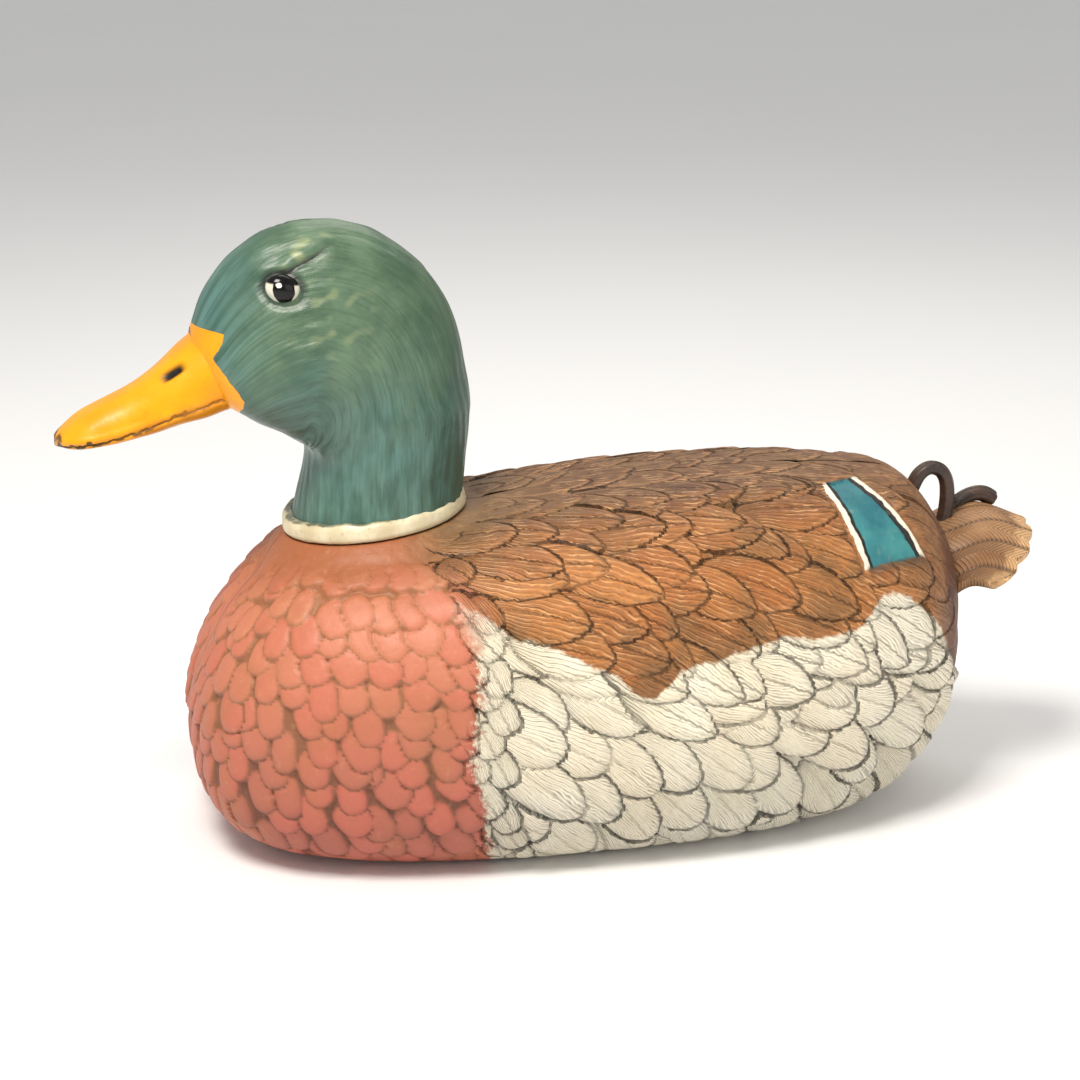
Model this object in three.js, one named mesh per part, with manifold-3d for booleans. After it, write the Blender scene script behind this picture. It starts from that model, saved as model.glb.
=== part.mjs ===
// Floating mallard drake decoy: a hollow moulded body in two halves, a turning head, a bottom board with ballast.
// Millimetres, +Z up. The bill points along -Y, the left side is +X, and the board's underside rests at Z = 0.
import * as THREE from "three";
import { mergeVertices } from "three/addons/utils/BufferGeometryUtils.js";
import Module from "manifold-3d";

const wasm = await Module();
wasm.setup();

// Driving dimensions.
const GAP = 0.3; // between pieces that touch
const WALL = 3.2; // moulded shell
const BODY_FRONT = -158;
const BODY_REAR = 171;
const HULL_FLAT_Z = 1; // the hull's flat underside, just above the board's
const NECK = { y: -79, z: 132, pitch: 0.126 }; // the seat's middle, and how far its axis leans forward
const SEAT_R = 38.4;
const NECK_HOLE_R = 25;
const STEM_R = 20;
const BOARD = { rear: 92, front: -91, half: 36, thick: 7 };
const GASKET_THICK = 1.4;
const LEDGE_Z = BOARD.thick + GASKET_THICK + 2 * GAP;
const LEDGE_TOP_Z = 14;
const LEDGE_WIDTH = 9;
const BOARD_SCREWS = [[26.5, -70], [31.5, -23], [31.5, 24], [26.5, 71]];
const SCREW_R = 1.7;
const SCREW_HOLE_R = SCREW_R + GAP;
const TIE_Y = -56; // the anchor line's tie pin
const TIE_SLOT = { length: 30, width: 20 };
const TIE_PIN_R = 2;
const TIE_CUP = { wall: 2, top: 19 };
const PLUG_Y = 70; // the drain plug
const PLUG_R = 6;
const BALLAST = { y: 12, length: 92, width: 34, thick: 12 };
const HEAD = { y: -97.2, z: 195.5, rx: 32, ry: 55.6, rz: 61.8, tilt: 0.313 };
const CHIN = { y: -106.4, z: 166.5, slope: 0.577 }; // the throat, and how steeply the jaw rises from it
const EYE = { x: 24.3, y: -116.3, z: 233, r: 7.4 };
const BILL = { baseY: -138, tipY: -207.5, tipZ: 171 };

const COLOURS = {
  breast: 0xc98a72, green: 0x3f6b58, bill: 0xe0a50c, collar: 0xeee6cc, dark: 0x5a473e,
  tail: 0xa9875f, white: 0xf0eadb, board: 0x5d5348, steel: 0xa8a8a8, lead: 0x6f7276,
  rubber: 0x2a2a2a, nylon: 0xd8d4c8, brass: 0xb8964a,
};

// ---- solids ----

// What a cut must take away for a piece to sit in it with a gap all round.
function loosened(made) {
  let cut = made;
  for (const axis of [0, 1, 2])
    for (const shift of [-GAP, GAP])
      cut = cut.add(made.translate([0, 1, 2].map((i) => (i === axis ? shift : 0))));
  return cut;
}

// A closed three.js geometry as a manifold-3d solid, whichever way its faces are wound.
function solid(geometry) {
  const bare = geometry.index ? geometry.toNonIndexed() : geometry.clone();
  const points = new THREE.BufferGeometry().setAttribute("position", bare.getAttribute("position"));
  const merged = mergeVertices(points, 1e-3);
  const vertProperties = merged.attributes.position.array;
  const triVerts = new Uint32Array(merged.index.array);
  const made = new wasm.Manifold(new wasm.Mesh({ numProp: 3, vertProperties, triVerts }));
  if (made.volume() > 0) return made;
  for (let i = 0; i < triVerts.length; i += 3)
    [triVerts[i + 1], triVerts[i + 2]] = [triVerts[i + 2], triVerts[i + 1]];
  return new wasm.Manifold(new wasm.Mesh({ numProp: 3, vertProperties, triVerts }));
}

function geometryOf(made) {
  const mesh = made.getMesh();
  const positions = new Float32Array(mesh.numVert * 3);
  for (let i = 0; i < mesh.numVert; i++)
    positions.set(mesh.vertProperties.subarray(i * mesh.numProp, i * mesh.numProp + 3), i * 3);
  return new THREE.BufferGeometry()
    .setAttribute("position", new THREE.BufferAttribute(positions, 3))
    .setIndex(new THREE.BufferAttribute(mesh.triVerts, 1));
}

// A surface of rings between two poles: point(i, j) gives ring i's point j.
function ringSolid(rings, around, startPole, endPole, point) {
  const positions = [...startPole];
  for (let i = 0; i < rings; i++)
    for (let j = 0; j < around; j++) positions.push(...point(i, j));
  positions.push(...endPole);
  const last = rings * around + 1;
  const at = (i, j) => 1 + i * around + (j % around);
  const faces = [];
  for (let j = 0; j < around; j++) {
    faces.push(0, at(0, j), at(0, j + 1));
    faces.push(last, at(rings - 1, j + 1), at(rings - 1, j));
    for (let i = 0; i + 1 < rings; i++) {
      faces.push(at(i, j), at(i + 1, j), at(i, j + 1));
      faces.push(at(i, j + 1), at(i + 1, j), at(i + 1, j + 1));
    }
  }
  const made = new THREE.BufferGeometry();
  made.setAttribute("position", new THREE.Float32BufferAttribute(positions, 3));
  made.setIndex(faces);
  return solid(made);
}

// A profile of [radius, z] turned about a vertical axis.
function turned(profile, segments, x = 0, y = 0) {
  const points = profile.map(([r, z]) => new THREE.Vector2(r, z));
  return solid(new THREE.LatheGeometry(points, segments).rotateX(Math.PI / 2).translate(x, y, 0));
}

const tube = (inner, outer, low, high, segments, x = 0, y = 0) =>
  turned([[inner, low], [outer, low], [outer, high], [inner, high], [inner, low]], segments, x, y);

const rod = (radius, low, high, segments, x = 0, y = 0) =>
  turned([[0, low], [radius, low], [radius, high], [0, high]], segments, x, y);

function block(sizeX, sizeY, sizeZ, x, y, z) {
  return solid(new THREE.BoxGeometry(sizeX, sizeY, sizeZ).translate(x, y, z));
}

// An oval plate with round ends, from z = low to z = high.
function oval(front, rear, half, low, high) {
  const outline = new THREE.Shape();
  outline.absarc(0, rear - half, half, 0, Math.PI, false);
  outline.absarc(0, front + half, half, Math.PI, 2 * Math.PI, false);
  const plate = new THREE.ExtrudeGeometry(outline, { depth: high - low, bevelEnabled: false, curveSegments: 9 });
  return solid(plate.translate(0, 0, low));
}

// ---- the body's outer form ----

// Stations every 15 degrees of a cosine run from breast to stern, so both ends close round.
const STATIONS = {
  top: [50, 75, 103, 126, 133, 137.5, 142.3, 144.5, 145, 143.5, 137, 112, 88],
  bottom: [50, 23, 7, -1, -5, -7, -7, -6, -3, 5, 22, 50, 88],
  half: [0, 40, 62, 76, 84, 87.5, 88, 86.5, 80, 69, 53.5, 34, 0],
  waist: [50, 50, 52, 56, 60, 63, 66, 69, 72, 76, 80, 84, 88],
};
const UPPER_POWER = 2.35;
const LOWER_POWER = 3.3;

// A smooth curve through evenly spaced values, read at t from 0 to 1.
function spline(values, t) {
  const place = Math.min(Math.max(t, 0), 1) * (values.length - 1);
  const i = Math.min(Math.floor(place), values.length - 2);
  const f = place - i;
  const [a, b] = [values[i], values[i + 1]];
  const before = i > 0 ? values[i - 1] : 2 * a - b;
  const after = i + 2 < values.length ? values[i + 2] : 2 * b - a;
  return 0.5 * (2 * a + (b - before) * f + (2 * before - 5 * a + 4 * b - after) * f * f
    + (3 * (a - b) + after - before) * f * f * f);
}

const power = (value, exponent) => Math.sign(value) * Math.abs(value) ** exponent;

// A point on the body, inset from its surface: t runs from breast to stern, angle from the back round the left side.
function bodyPoint(t, angle, inset) {
  const middle = (BODY_FRONT + BODY_REAR) / 2;
  const reach = (BODY_REAR - BODY_FRONT) / 2 - inset;
  const waist = spline(STATIONS.waist, t);
  const shrink = inset * Math.sin(Math.PI * t);
  const half = Math.max(spline(STATIONS.half, t) - shrink, 0);
  const up = spline(STATIONS.top, t) - waist - shrink;
  const down = waist - spline(STATIONS.bottom, t) - shrink;
  const [s, c] = [Math.sin(angle), Math.cos(angle)];
  const e = 2 / (c > 0 ? UPPER_POWER : LOWER_POWER);
  return [half * power(s, e), middle - reach * Math.cos(Math.PI * t), waist + (c > 0 ? up : down) * power(c, e)];
}

function bodyLoft(rings, around, inset) {
  const point = (i, j) => bodyPoint((i + 1) / (rings + 1), (2 * Math.PI * j) / around, inset);
  return ringSolid(rings, around, bodyPoint(0, 0, inset), bodyPoint(1, 0, inset), point);
}

// The neck's own frame has its origin in the middle of the seat and Z along the axis that the head turns about.
const fromNeck = (made) =>
  made.rotate([(NECK.pitch * 180) / Math.PI, 0, 0]).translate([0, NECK.y, NECK.z]);

// The cone under the neck, which carries the seat and merges into the breast and back.
const neckBoss = () =>
  fromNeck(turned([[0, -24], [54, -24], [49, -12], [43, -4], [SEAT_R, 0], [0, 0]], 32));

// ---- the tail fan, scalloped at its rim and dished down at its sides ----

const TAIL = { rootY: 146, tipY: 207.5, half: 35, z: [108, 116, 121, 114], thick: 4.6, lobes: 7 };

// across runs from -1 to 1, along from 0 at the root to 1 at the tip.
function tailPoint(along, across, side) {
  const scallop = 2.6 * Math.cos(across * Math.PI * TAIL.lobes) ** 2;
  const reach = (TAIL.tipY - TAIL.rootY) * (1 - 0.37 * across ** 2) - scallop;
  const fanned = 0.62 + 0.38 * Math.sin(along * Math.PI * 0.62);
  const droop = Math.abs(across) ** 1.8 * (31 - 13 * along);
  return [
    TAIL.half * fanned * (Math.sin(across * 1.4) / Math.sin(1.4)),
    TAIL.rootY + reach * along,
    spline(TAIL.z, along) - droop - side * TAIL.thick * (1.25 - 0.6 * along),
  ];
}

function tailFan() {
  const [rows, columns] = [5, 28];
  const loop = []; // once round the plate's cross-section: over the top and back underneath
  for (let j = 0; j <= columns; j++) loop.push([-1 + (2 * j) / columns, 0]);
  for (let j = columns; j >= 0; j--) loop.push([-1 + (2 * j) / columns, 1]);
  const positions = [];
  for (let i = 0; i <= rows; i++)
    for (const [across, side] of loop) positions.push(...tailPoint(i / rows, across, side));
  const faces = [];
  const n = loop.length;
  for (let i = 0; i < rows; i++)
    for (let j = 0; j < n; j++) {
      const [a, b] = [i * n + j, i * n + ((j + 1) % n)];
      faces.push(a, b, a + n, b, b + n, a + n);
    }
  for (const [start, flip] of [[0, true], [rows * n, false]])
    for (let j = 0; j < columns; j++) {
      const quad = [start + j, start + j + 1, start + n - 2 - j, start + n - 1 - j];
      if (flip) quad.reverse();
      faces.push(quad[0], quad[1], quad[2], quad[0], quad[2], quad[3]);
    }
  const made = new THREE.BufferGeometry();
  made.setAttribute("position", new THREE.Float32BufferAttribute(positions, 3));
  made.setIndex(faces);
  return solid(made);
}

// ---- the curled tail feathers ----

function bentRod(points, radius, flatten, steps) {
  const path = new THREE.CatmullRomCurve3(points.map((p) => new THREE.Vector3(...p)), false, "centripetal");
  const section = new THREE.Shape();
  section.absellipse(0, 0, radius, radius * flatten, 0, 2 * Math.PI);
  return solid(new THREE.ExtrudeGeometry(section, { steps, extrudePath: path, curveSegments: 5, bevelEnabled: false }));
}

const UPPER_CURL = [[151, 120], [155, 131], [158, 136.5], [162.5, 139], [167.5, 137], [170, 130.5], [169.5, 119], [166, 107]];
const LOWER_CURL = [[171, 110], [176, 118.5], [183, 123], [190, 123.3], [196.5, 119.5]];

const upperCurl = (radius) => bentRod(UPPER_CURL.map(([y, z], i) => [0.4 * i, y, z]), radius, 0.95, 20);
const lowerCurl = (radius) => bentRod(LOWER_CURL.map(([y, z], i) => [-5 - i, y, z]), radius, 0.8, 12);

// ---- the head's outer form ----

// Distances, negative inside, to a tilted ellipsoid and to the leaning neck.
function toEllipsoid(x, y, z, cx, cy, cz, rx, ry, rz, tilt) {
  const [dy, dz] = [y - cy, z - cz];
  const [py, pz] = [dy * Math.cos(tilt) + dz * Math.sin(tilt), dz * Math.cos(tilt) - dy * Math.sin(tilt)];
  const near = Math.hypot((x - cx) / rx, py / ry, pz / rz);
  const far = Math.hypot((x - cx) / rx ** 2, py / ry ** 2, pz / rz ** 2);
  return far > 1e-9 ? (near * (near - 1)) / far : -Math.min(rx, ry, rz);
}

// The neck narrows as it rises from the seat, and leans back from its axis.
function toNeck(x, y, z) {
  const [dy, dz] = [y - NECK.y, z - NECK.z];
  const rise = dz * Math.cos(NECK.pitch) - dy * Math.sin(NECK.pitch);
  const out = dy * Math.cos(NECK.pitch) + dz * Math.sin(NECK.pitch);
  const reach = Math.min(rise, 40);
  return Math.max(Math.hypot(x, out - 0.3 * reach) - (36.4 - 0.1 * reach), z - 188);
}

// The skull, cut off softly below the jaw.
function toSkull(x, y, z) {
  const ball = toEllipsoid(x, y, z, 0, HEAD.y, HEAD.z, HEAD.rx, HEAD.ry, HEAD.rz, HEAD.tilt);
  const below = (CHIN.y - y) * Math.sin(CHIN.slope) + (CHIN.z - z) * Math.cos(CHIN.slope);
  return 5 * Math.log(Math.exp(ball / 5) + Math.exp(below / 5));
}

// The skull, the cheeks, the muzzle behind the bill and the neck, melted together.
function toHead(x, y, z) {
  const soft = 3.2;
  const parts = [
    toSkull(x, y, z),
    toEllipsoid(Math.abs(x), y, z, 12, -106, 199, 20, 33, 23, 0.15),
    toEllipsoid(x, y, z, 0, -129, 203, 20.5, 25, 18.5, 0.35),
    toNeck(x, y, z),
  ];
  return -soft * Math.log(parts.reduce((sum, d) => sum + Math.exp(-d / soft), 0));
}

// Where a ray from inside the head meets its surface, inset by a wall.
function headHit(origin, direction, inset) {
  const at = (r) => origin.map((o, i) => o + direction[i] * r);
  let reach = 0;
  while (reach < 90 && toHead(...at(reach)) < -inset) reach += 1.5;
  let [low, high] = [Math.max(reach - 1.5, 0), reach];
  for (let k = 0; k < 10; k++) {
    const middle = (low + high) / 2;
    if (toHead(...at(middle)) < -inset) low = middle;
    else high = middle;
  }
  return at(low);
}

// Sections that rise up the neck, fan about the throat, then run forward to the bill.
const THROAT = { y: -110, z: 166, rise: 36 };
const NECK_BASE = 2.2; // the head's lower end, above the seat

function headSection(t) {
  const turn = NECK.pitch + Math.min(Math.max((t - 0.22) / 0.48, 0), 1) * (Math.PI / 2 - NECK.pitch);
  const across = [0, Math.cos(turn), Math.sin(turn)];
  if (t < 0.22) {
    const rise = NECK_BASE + (THROAT.rise - NECK_BASE) * (t / 0.22);
    const lean = 0.3 * rise;
    const y = NECK.y - rise * Math.sin(NECK.pitch) + lean * Math.cos(NECK.pitch);
    const z = NECK.z + rise * Math.cos(NECK.pitch) + lean * Math.sin(NECK.pitch);
    return { origin: [0, y, z], across };
  }
  const forward = Math.max((t - 0.7) / 0.3, 0) * 31;
  const depth = 34 + 10 * Math.sin(turn * 2) + 5 * Math.sin(turn);
  return { origin: [0, THROAT.y - forward + across[1] * depth, THROAT.z + across[2] * depth], across };
}

function headLoft(rings, around, inset, start = 0) {
  const at = (i) => headSection(start + ((1 - start) * i) / (rings - 1));
  const point = (i, j) => {
    const { origin, across } = at(i);
    const a = (2 * Math.PI * j) / around;
    return headHit(origin, [Math.sin(a), Math.cos(a) * across[1], Math.cos(a) * across[2]], inset);
  };
  const first = at(0).origin;
  const front = headHit(at(rings - 1).origin, [0, -1, 0], inset);
  return ringSolid(rings, around, first, front, point);
}

// ---- the bill ----

// A section at t from base to tip: half width, top, bottom, and the height of its edge, where the mandibles meet.
function billSection(t, grow) {
  const y = BILL.baseY + (BILL.tipY - BILL.baseY) * t;
  const round = Math.sqrt(Math.max(1 - Math.max((t - 0.78) / 0.22, 0) ** 2, 0));
  return {
    y,
    half: (spline([22, 19.5, 16.6, 15.8, 15.4], t) + grow) * round,
    top: spline([224, 209, 194.5, 185.5, 176.5], t) + grow,
    bottom: spline([181.5, 177, 172.5, 169.3, 168], t) - grow,
    edge: spline([190, 184.5, 177.5, 172.6, 170.4], t),
    round,
  };
}

function billLoft(grow = 0) {
  const [rings, around] = [14, 20];
  const point = (i, j) => {
    const s = billSection((0.995 * i) / (rings - 1), grow);
    const a = (2 * Math.PI * j) / around;
    const lift = Math.cos(a) > 0 ? (s.top - s.edge) * power(Math.cos(a), 1.05) : (s.edge - s.bottom) * power(Math.cos(a), 0.8);
    return [s.half * power(Math.sin(a), 0.8), s.y, s.edge + lift * (0.35 + 0.65 * s.round)];
  };
  const base = billSection(0, grow);
  const tip = [0, BILL.tipY - grow, BILL.tipZ];
  return ringSolid(rings, around, [0, base.y, base.edge], tip, point);
}

// ---- fasteners ----

// A flat-headed screw that stands on its point side up: its head is at z = low.
function flatHeadScrew(low, high, x, y, headR = 3.8) {
  const profile = [[0, low], [headR, low], [headR, low + 0.6], [SCREW_R, low + 2.6], [SCREW_R, high - 2], [0, high]];
  const slot = block(headR * 1.6, 0.9, 1.6, x, y, low);
  return turned(profile, 10, x, y).subtract(slot);
}

const screwHole = (low, high, x, y) =>
  turned([[0, low - 1], [4.3, low - 1], [4.3, low + 1], [SCREW_HOLE_R, low + 3.2], [SCREW_HOLE_R, high], [0, high]], 10, x, y);

function panHeadScrew(low, high, x, y) {
  const profile = [[0, low], [SCREW_R, low + 1.5], [SCREW_R, high - 2.4], [3.6, high - 2.4], [3.3, high - 0.7], [2, high], [0, high]];
  return turned(profile, 10, x, y).subtract(block(8, 0.9, 1.2, x, y, high));
}

// ---- pieces ----

const boardScrews = BOARD_SCREWS.flatMap(([x, y], i) => [
  { x, y, name: `board_screw_left_${i + 1}` },
  { x: -x, y, name: `board_screw_right_${i + 1}` },
]);
const ballastScrews = [BALLAST.y - BALLAST.length / 2 + 10, BALLAST.y + BALLAST.length / 2 - 10];
const BALLAST_LOW = BOARD.thick + GAP;
const BALLAST_HIGH = BALLAST_LOW + BALLAST.thick;

// Both halves of the body together, before the split along the middle.
function bodyShell() {
  const pad = oval(BOARD.front - 9, BOARD.rear + 9, BOARD.half + 8, -1, LEDGE_TOP_Z);
  const hollow = bodyLoft(14, 18, WALL).subtract(pad);
  const keep = block(400, 400, 300, 0, 0, 150 + HULL_FLAT_Z);
  const rebate = oval(BOARD.front - GAP, BOARD.rear + GAP, BOARD.half + GAP, -10, LEDGE_Z);
  const opening = oval(BOARD.front + LEDGE_WIDTH, BOARD.rear - LEDGE_WIDTH, BOARD.half - LEDGE_WIDTH, -1, LEDGE_TOP_Z + 4);
  const aboveSeat = fromNeck(rod(SEAT_R + 2, 0, 12, 32));
  let shell = bodyLoft(28, 32, 0).add(neckBoss()).intersect(keep).subtract(aboveSeat);
  shell = shell.subtract(hollow).subtract(rebate).subtract(opening);
  shell = shell.subtract(fromNeck(rod(NECK_HOLE_R, -30, 8, 32)));
  shell = shell.subtract(loosened(tailFan())).subtract(upperCurl(3.3 + GAP)).subtract(lowerCurl(2.9 + GAP));
  for (const { x, y } of boardScrews) shell = shell.subtract(rod(SCREW_HOLE_R, 5, LEDGE_TOP_Z - 1, 10, x, y));
  return shell;
}

function bodyHalf(shell, side) {
  return shell.intersect(block(200, 400, 300, side * (100 + GAP / 2), 0, 140));
}

function bottomBoard() {
  let board = oval(BOARD.front, BOARD.rear, BOARD.half, 0, BOARD.thick);
  board = board.subtract(block(TIE_SLOT.width, TIE_SLOT.length, 30, 0, TIE_Y, 5));
  board = board.subtract(tiePin(GAP));
  const drain = [[0, -1], [PLUG_R + 3 + GAP, -1], [PLUG_R + 3 + GAP, 3.6], [PLUG_R + GAP, 3.6], [PLUG_R + GAP, 12], [0, 12]];
  board = board.subtract(turned(drain, 20, 0, PLUG_Y));
  for (const { x, y } of boardScrews) board = board.subtract(screwHole(0.6, 12, x, y));
  for (const y of ballastScrews) board = board.subtract(rod(SCREW_HOLE_R, 2, 12, 10, 0, y));
  return board;
}

function boardGasket() {
  const low = BOARD.thick + GAP;
  const outer = oval(BOARD.front, BOARD.rear, BOARD.half, low, low + GASKET_THICK);
  let ring = outer.subtract(oval(BOARD.front + LEDGE_WIDTH, BOARD.rear - LEDGE_WIDTH, BOARD.half - LEDGE_WIDTH, 0, 20));
  for (const { x, y } of boardScrews) ring = ring.subtract(rod(SCREW_HOLE_R, 0, 20, 10, x, y));
  return ring;
}

// The steel pin that the anchor line is tied to, across the slot at the front of the board.
function tiePin(grow = 0) {
  const half = TIE_SLOT.width / 2 + 5 + grow;
  const pin = new THREE.CylinderGeometry(TIE_PIN_R + grow, TIE_PIN_R + grow, 2 * half, 14);
  return solid(pin.rotateZ(Math.PI / 2).translate(0, TIE_Y, 3.4));
}

// The cup that closes the slot from inside, so that the line's knot has room and no water gets in.
function tieCup() {
  const low = BOARD.thick + GAP;
  const { wall, top } = TIE_CUP;
  const [width, length] = [TIE_SLOT.width + 2 * wall, TIE_SLOT.length + 2 * wall];
  const outside = block(width, length, top - low, 0, TIE_Y, (top + low) / 2);
  const flange = block(width + 6, length + 6, 2, 0, TIE_Y, low + 1);
  return outside.add(flange).subtract(block(TIE_SLOT.width, TIE_SLOT.length, 2 * (top - wall), 0, TIE_Y, 0));
}

function ballastWeight() {
  const { length, width, thick, y } = BALLAST;
  let weight = block(width, length, thick, 0, y, BALLAST_LOW + thick / 2);
  for (const side of [-1, 1]) { // chamfered long edges
    const edge = new THREE.BoxGeometry(6, length + 2, 6).rotateY(Math.PI / 4);
    weight = weight.subtract(solid(edge.translate((side * width) / 2, y, BALLAST_HIGH)));
  }
  for (const hole of ballastScrews) weight = weight.subtract(rod(SCREW_HOLE_R, 0, 40, 10, 0, hole));
  return weight;
}

function drainPlug() {
  const profile = [[0, 0.8], [PLUG_R + 3, 0.8], [PLUG_R + 3, 1.8], [PLUG_R, 1.8], [PLUG_R, 10.6], [PLUG_R - 1.6, 11.6], [0, 11.6]];
  return turned(profile, 20, 0, PLUG_Y).subtract(block(12, 1.6, 1.6, 0, PLUG_Y, 0.8));
}

const plugSeal = () => tube(PLUG_R + GAP, PLUG_R + 2.8, 2.1, 3.3, 20, 0, PLUG_Y);

// The flanged bush in the body's neck hole, which the head's stem turns in.
function neckBush() {
  const [inner, outer] = [STEM_R + 0.45, NECK_HOLE_R - GAP];
  const profile = [[inner, -9], [outer, -9], [outer, GAP], [32, GAP], [32, GAP + 1.6], [inner, GAP + 1.6], [inner, -9]];
  return fromNeck(turned(profile, 32));
}

// The disc that closes the neck from below, with the hollow stem that goes through the bush.
function neckPlug() {
  const [low, high] = [NECK_BASE, NECK_BASE + 5];
  return fromNeck(turned([[13, -25], [STEM_R, -25], [STEM_R, low], [30.6, low], [30.6, high], [13, high], [13, -25]], 32));
}

const frictionWasher = () => fromNeck(tube(STEM_R + 0.45, 26.5, -13.8, -9.3, 32));

// The six-sided nut on the stem's thread, inside the body.
function stemNut() {
  const hexagon = solid(new THREE.CylinderGeometry(27.5, 27.5, 7, 6).rotateX(Math.PI / 2).translate(0, 0, -17.8));
  return fromNeck(hexagon.subtract(rod(STEM_R + GAP, -30, 0, 32)));
}

function neckCollar(grow = 0) {
  const [low, high] = [0.5 - grow, 7.4 + grow];
  const [inner, outer] = [34.2 - grow, 38.3 + grow];
  const profile = [[inner, low], [outer, low], [outer, low + 2.4], [outer - 1.3, high - 0.6], [inner + 1.6, high], [inner, high]];
  return fromNeck(turned([...profile, [inner, low]], 32));
}

const eyeSolid = (side, grow = 0) =>
  solid(new THREE.SphereGeometry(EYE.r + grow, 14, 8).scale(0.62, 1, 0.92).translate(side * (EYE.x - 1.6), EYE.y, EYE.z));

function headShell() {
  const inner = headLoft(12, 14, WALL, 0.06).add(fromNeck(rod(31, -5, 11, 32)));
  let shell = headLoft(24, 26, 0).subtract(inner);
  shell = shell.subtract(billLoft(GAP)).subtract(neckCollar(GAP));
  shell = shell.subtract(eyeSolid(1, GAP)).subtract(eyeSolid(-1, GAP));
  return shell;
}

// The bill is hollow behind, like the head that it closes.
function bill() {
  const behind = headLoft(12, 14, WALL, 0.06);
  return billLoft().subtract(behind);
}

// ---- assembly ----

const decoy = new THREE.Group();

function add(name, made, colour, roughness = 0.5, metalness = 0) {
  const material = new THREE.MeshStandardMaterial({ color: colour, roughness, metalness });
  const mesh = new THREE.Mesh(geometryOf(made), material);
  mesh.name = name;
  decoy.add(mesh);
}

const shell = bodyShell();
add("left_body_shell", bodyHalf(shell, 1), COLOURS.breast);
add("right_body_shell", bodyHalf(shell, -1), COLOURS.breast);
add("tail_fan", tailFan().subtract(upperCurl(3.3 + GAP)).subtract(lowerCurl(2.9 + GAP)), COLOURS.tail);
add("upper_tail_curl", upperCurl(3.3), COLOURS.dark);
add("lower_tail_curl", lowerCurl(2.9), COLOURS.dark);
add("bottom_board", bottomBoard(), COLOURS.board);
add("board_gasket", boardGasket(), COLOURS.rubber, 0.8);
add("tie_pin", tiePin(), COLOURS.steel, 0.35, 0.9);
add("tie_cup", tieCup(), COLOURS.nylon);
add("ballast_weight", ballastWeight(), COLOURS.lead, 0.6, 0.8);
add("drain_plug", drainPlug(), COLOURS.rubber);
add("plug_seal", plugSeal(), COLOURS.rubber, 0.8);
add("neck_bush", neckBush(), COLOURS.nylon);
add("friction_washer", frictionWasher(), COLOURS.dark, 0.8);
for (const { x, y, name } of boardScrews) add(name, flatHeadScrew(0.8, 12.4, x, y), COLOURS.brass, 0.4, 0.9);
ballastScrews.forEach((y, i) =>
  add(`ballast_screw_${i + 1}`, panHeadScrew(3, BALLAST_HIGH + 2.4 + GAP, 0, y), COLOURS.brass, 0.4, 0.9));

add("head_shell", headShell(), COLOURS.green, 0.4);
add("bill", bill(), COLOURS.bill, 0.35);
add("left_eye", eyeSolid(1), COLOURS.dark, 0.1);
add("right_eye", eyeSolid(-1), COLOURS.dark, 0.1);
add("neck_collar", neckCollar(), COLOURS.collar);
add("neck_plug", neckPlug(), COLOURS.nylon);
add("stem_nut", stemNut(), COLOURS.nylon);

export default decoy;
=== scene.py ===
"""Looks of the floating mallard drake decoy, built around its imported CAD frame.

Shapes are worked out in millimetres in the CAD frame (the bill points along -Y, the left side is +X) and
turned into metres when each mesh is made. The body and head follow nearly the same forms as the solids, with
the carved feathers and brush strokes added.
"""

import math

import bmesh
import bpy
import mathutils
import numpy as np
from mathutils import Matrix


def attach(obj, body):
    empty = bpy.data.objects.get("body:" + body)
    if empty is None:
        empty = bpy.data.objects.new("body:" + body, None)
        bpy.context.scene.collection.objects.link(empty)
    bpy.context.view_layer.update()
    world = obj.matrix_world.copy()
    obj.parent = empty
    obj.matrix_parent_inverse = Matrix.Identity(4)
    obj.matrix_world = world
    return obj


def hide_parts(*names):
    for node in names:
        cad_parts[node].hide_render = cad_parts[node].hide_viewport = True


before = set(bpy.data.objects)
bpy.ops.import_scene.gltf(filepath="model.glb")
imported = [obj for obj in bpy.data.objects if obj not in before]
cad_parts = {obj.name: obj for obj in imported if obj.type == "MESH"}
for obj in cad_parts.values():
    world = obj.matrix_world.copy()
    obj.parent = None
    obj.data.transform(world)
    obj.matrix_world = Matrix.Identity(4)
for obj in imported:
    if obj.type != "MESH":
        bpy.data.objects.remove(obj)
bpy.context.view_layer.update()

MM = 0.001


# ---- small helpers ----


DEEPEN, ENRICH = 1.18, 1.04  # the studio light pales the paints, so they are put down deeper and richer


def srgb(red, green, blue):
    """A 0-255 sRGB colour as linear RGBA, deepened and enriched."""
    parts = (red / 255, green / 255, blue / 255)
    linear = [(c / 12.92 if c <= 0.04045 else ((c + 0.055) / 1.055) ** 2.4) for c in parts]
    deep = [c**DEEPEN for c in linear]
    grey = 0.3 * deep[0] + 0.6 * deep[1] + 0.1 * deep[2]
    return (*[min(max(grey + (c - grey) * ENRICH, 0.0), 1.0) for c in deep], 1.0)


def smoothstep(value, low, high):
    t = np.clip((value - low) / (high - low), 0, 1)
    return t * t * (3 - 2 * t)


def unit(vectors):
    return vectors / np.maximum(np.linalg.norm(vectors, axis=-1, keepdims=True), 1e-9)


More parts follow.
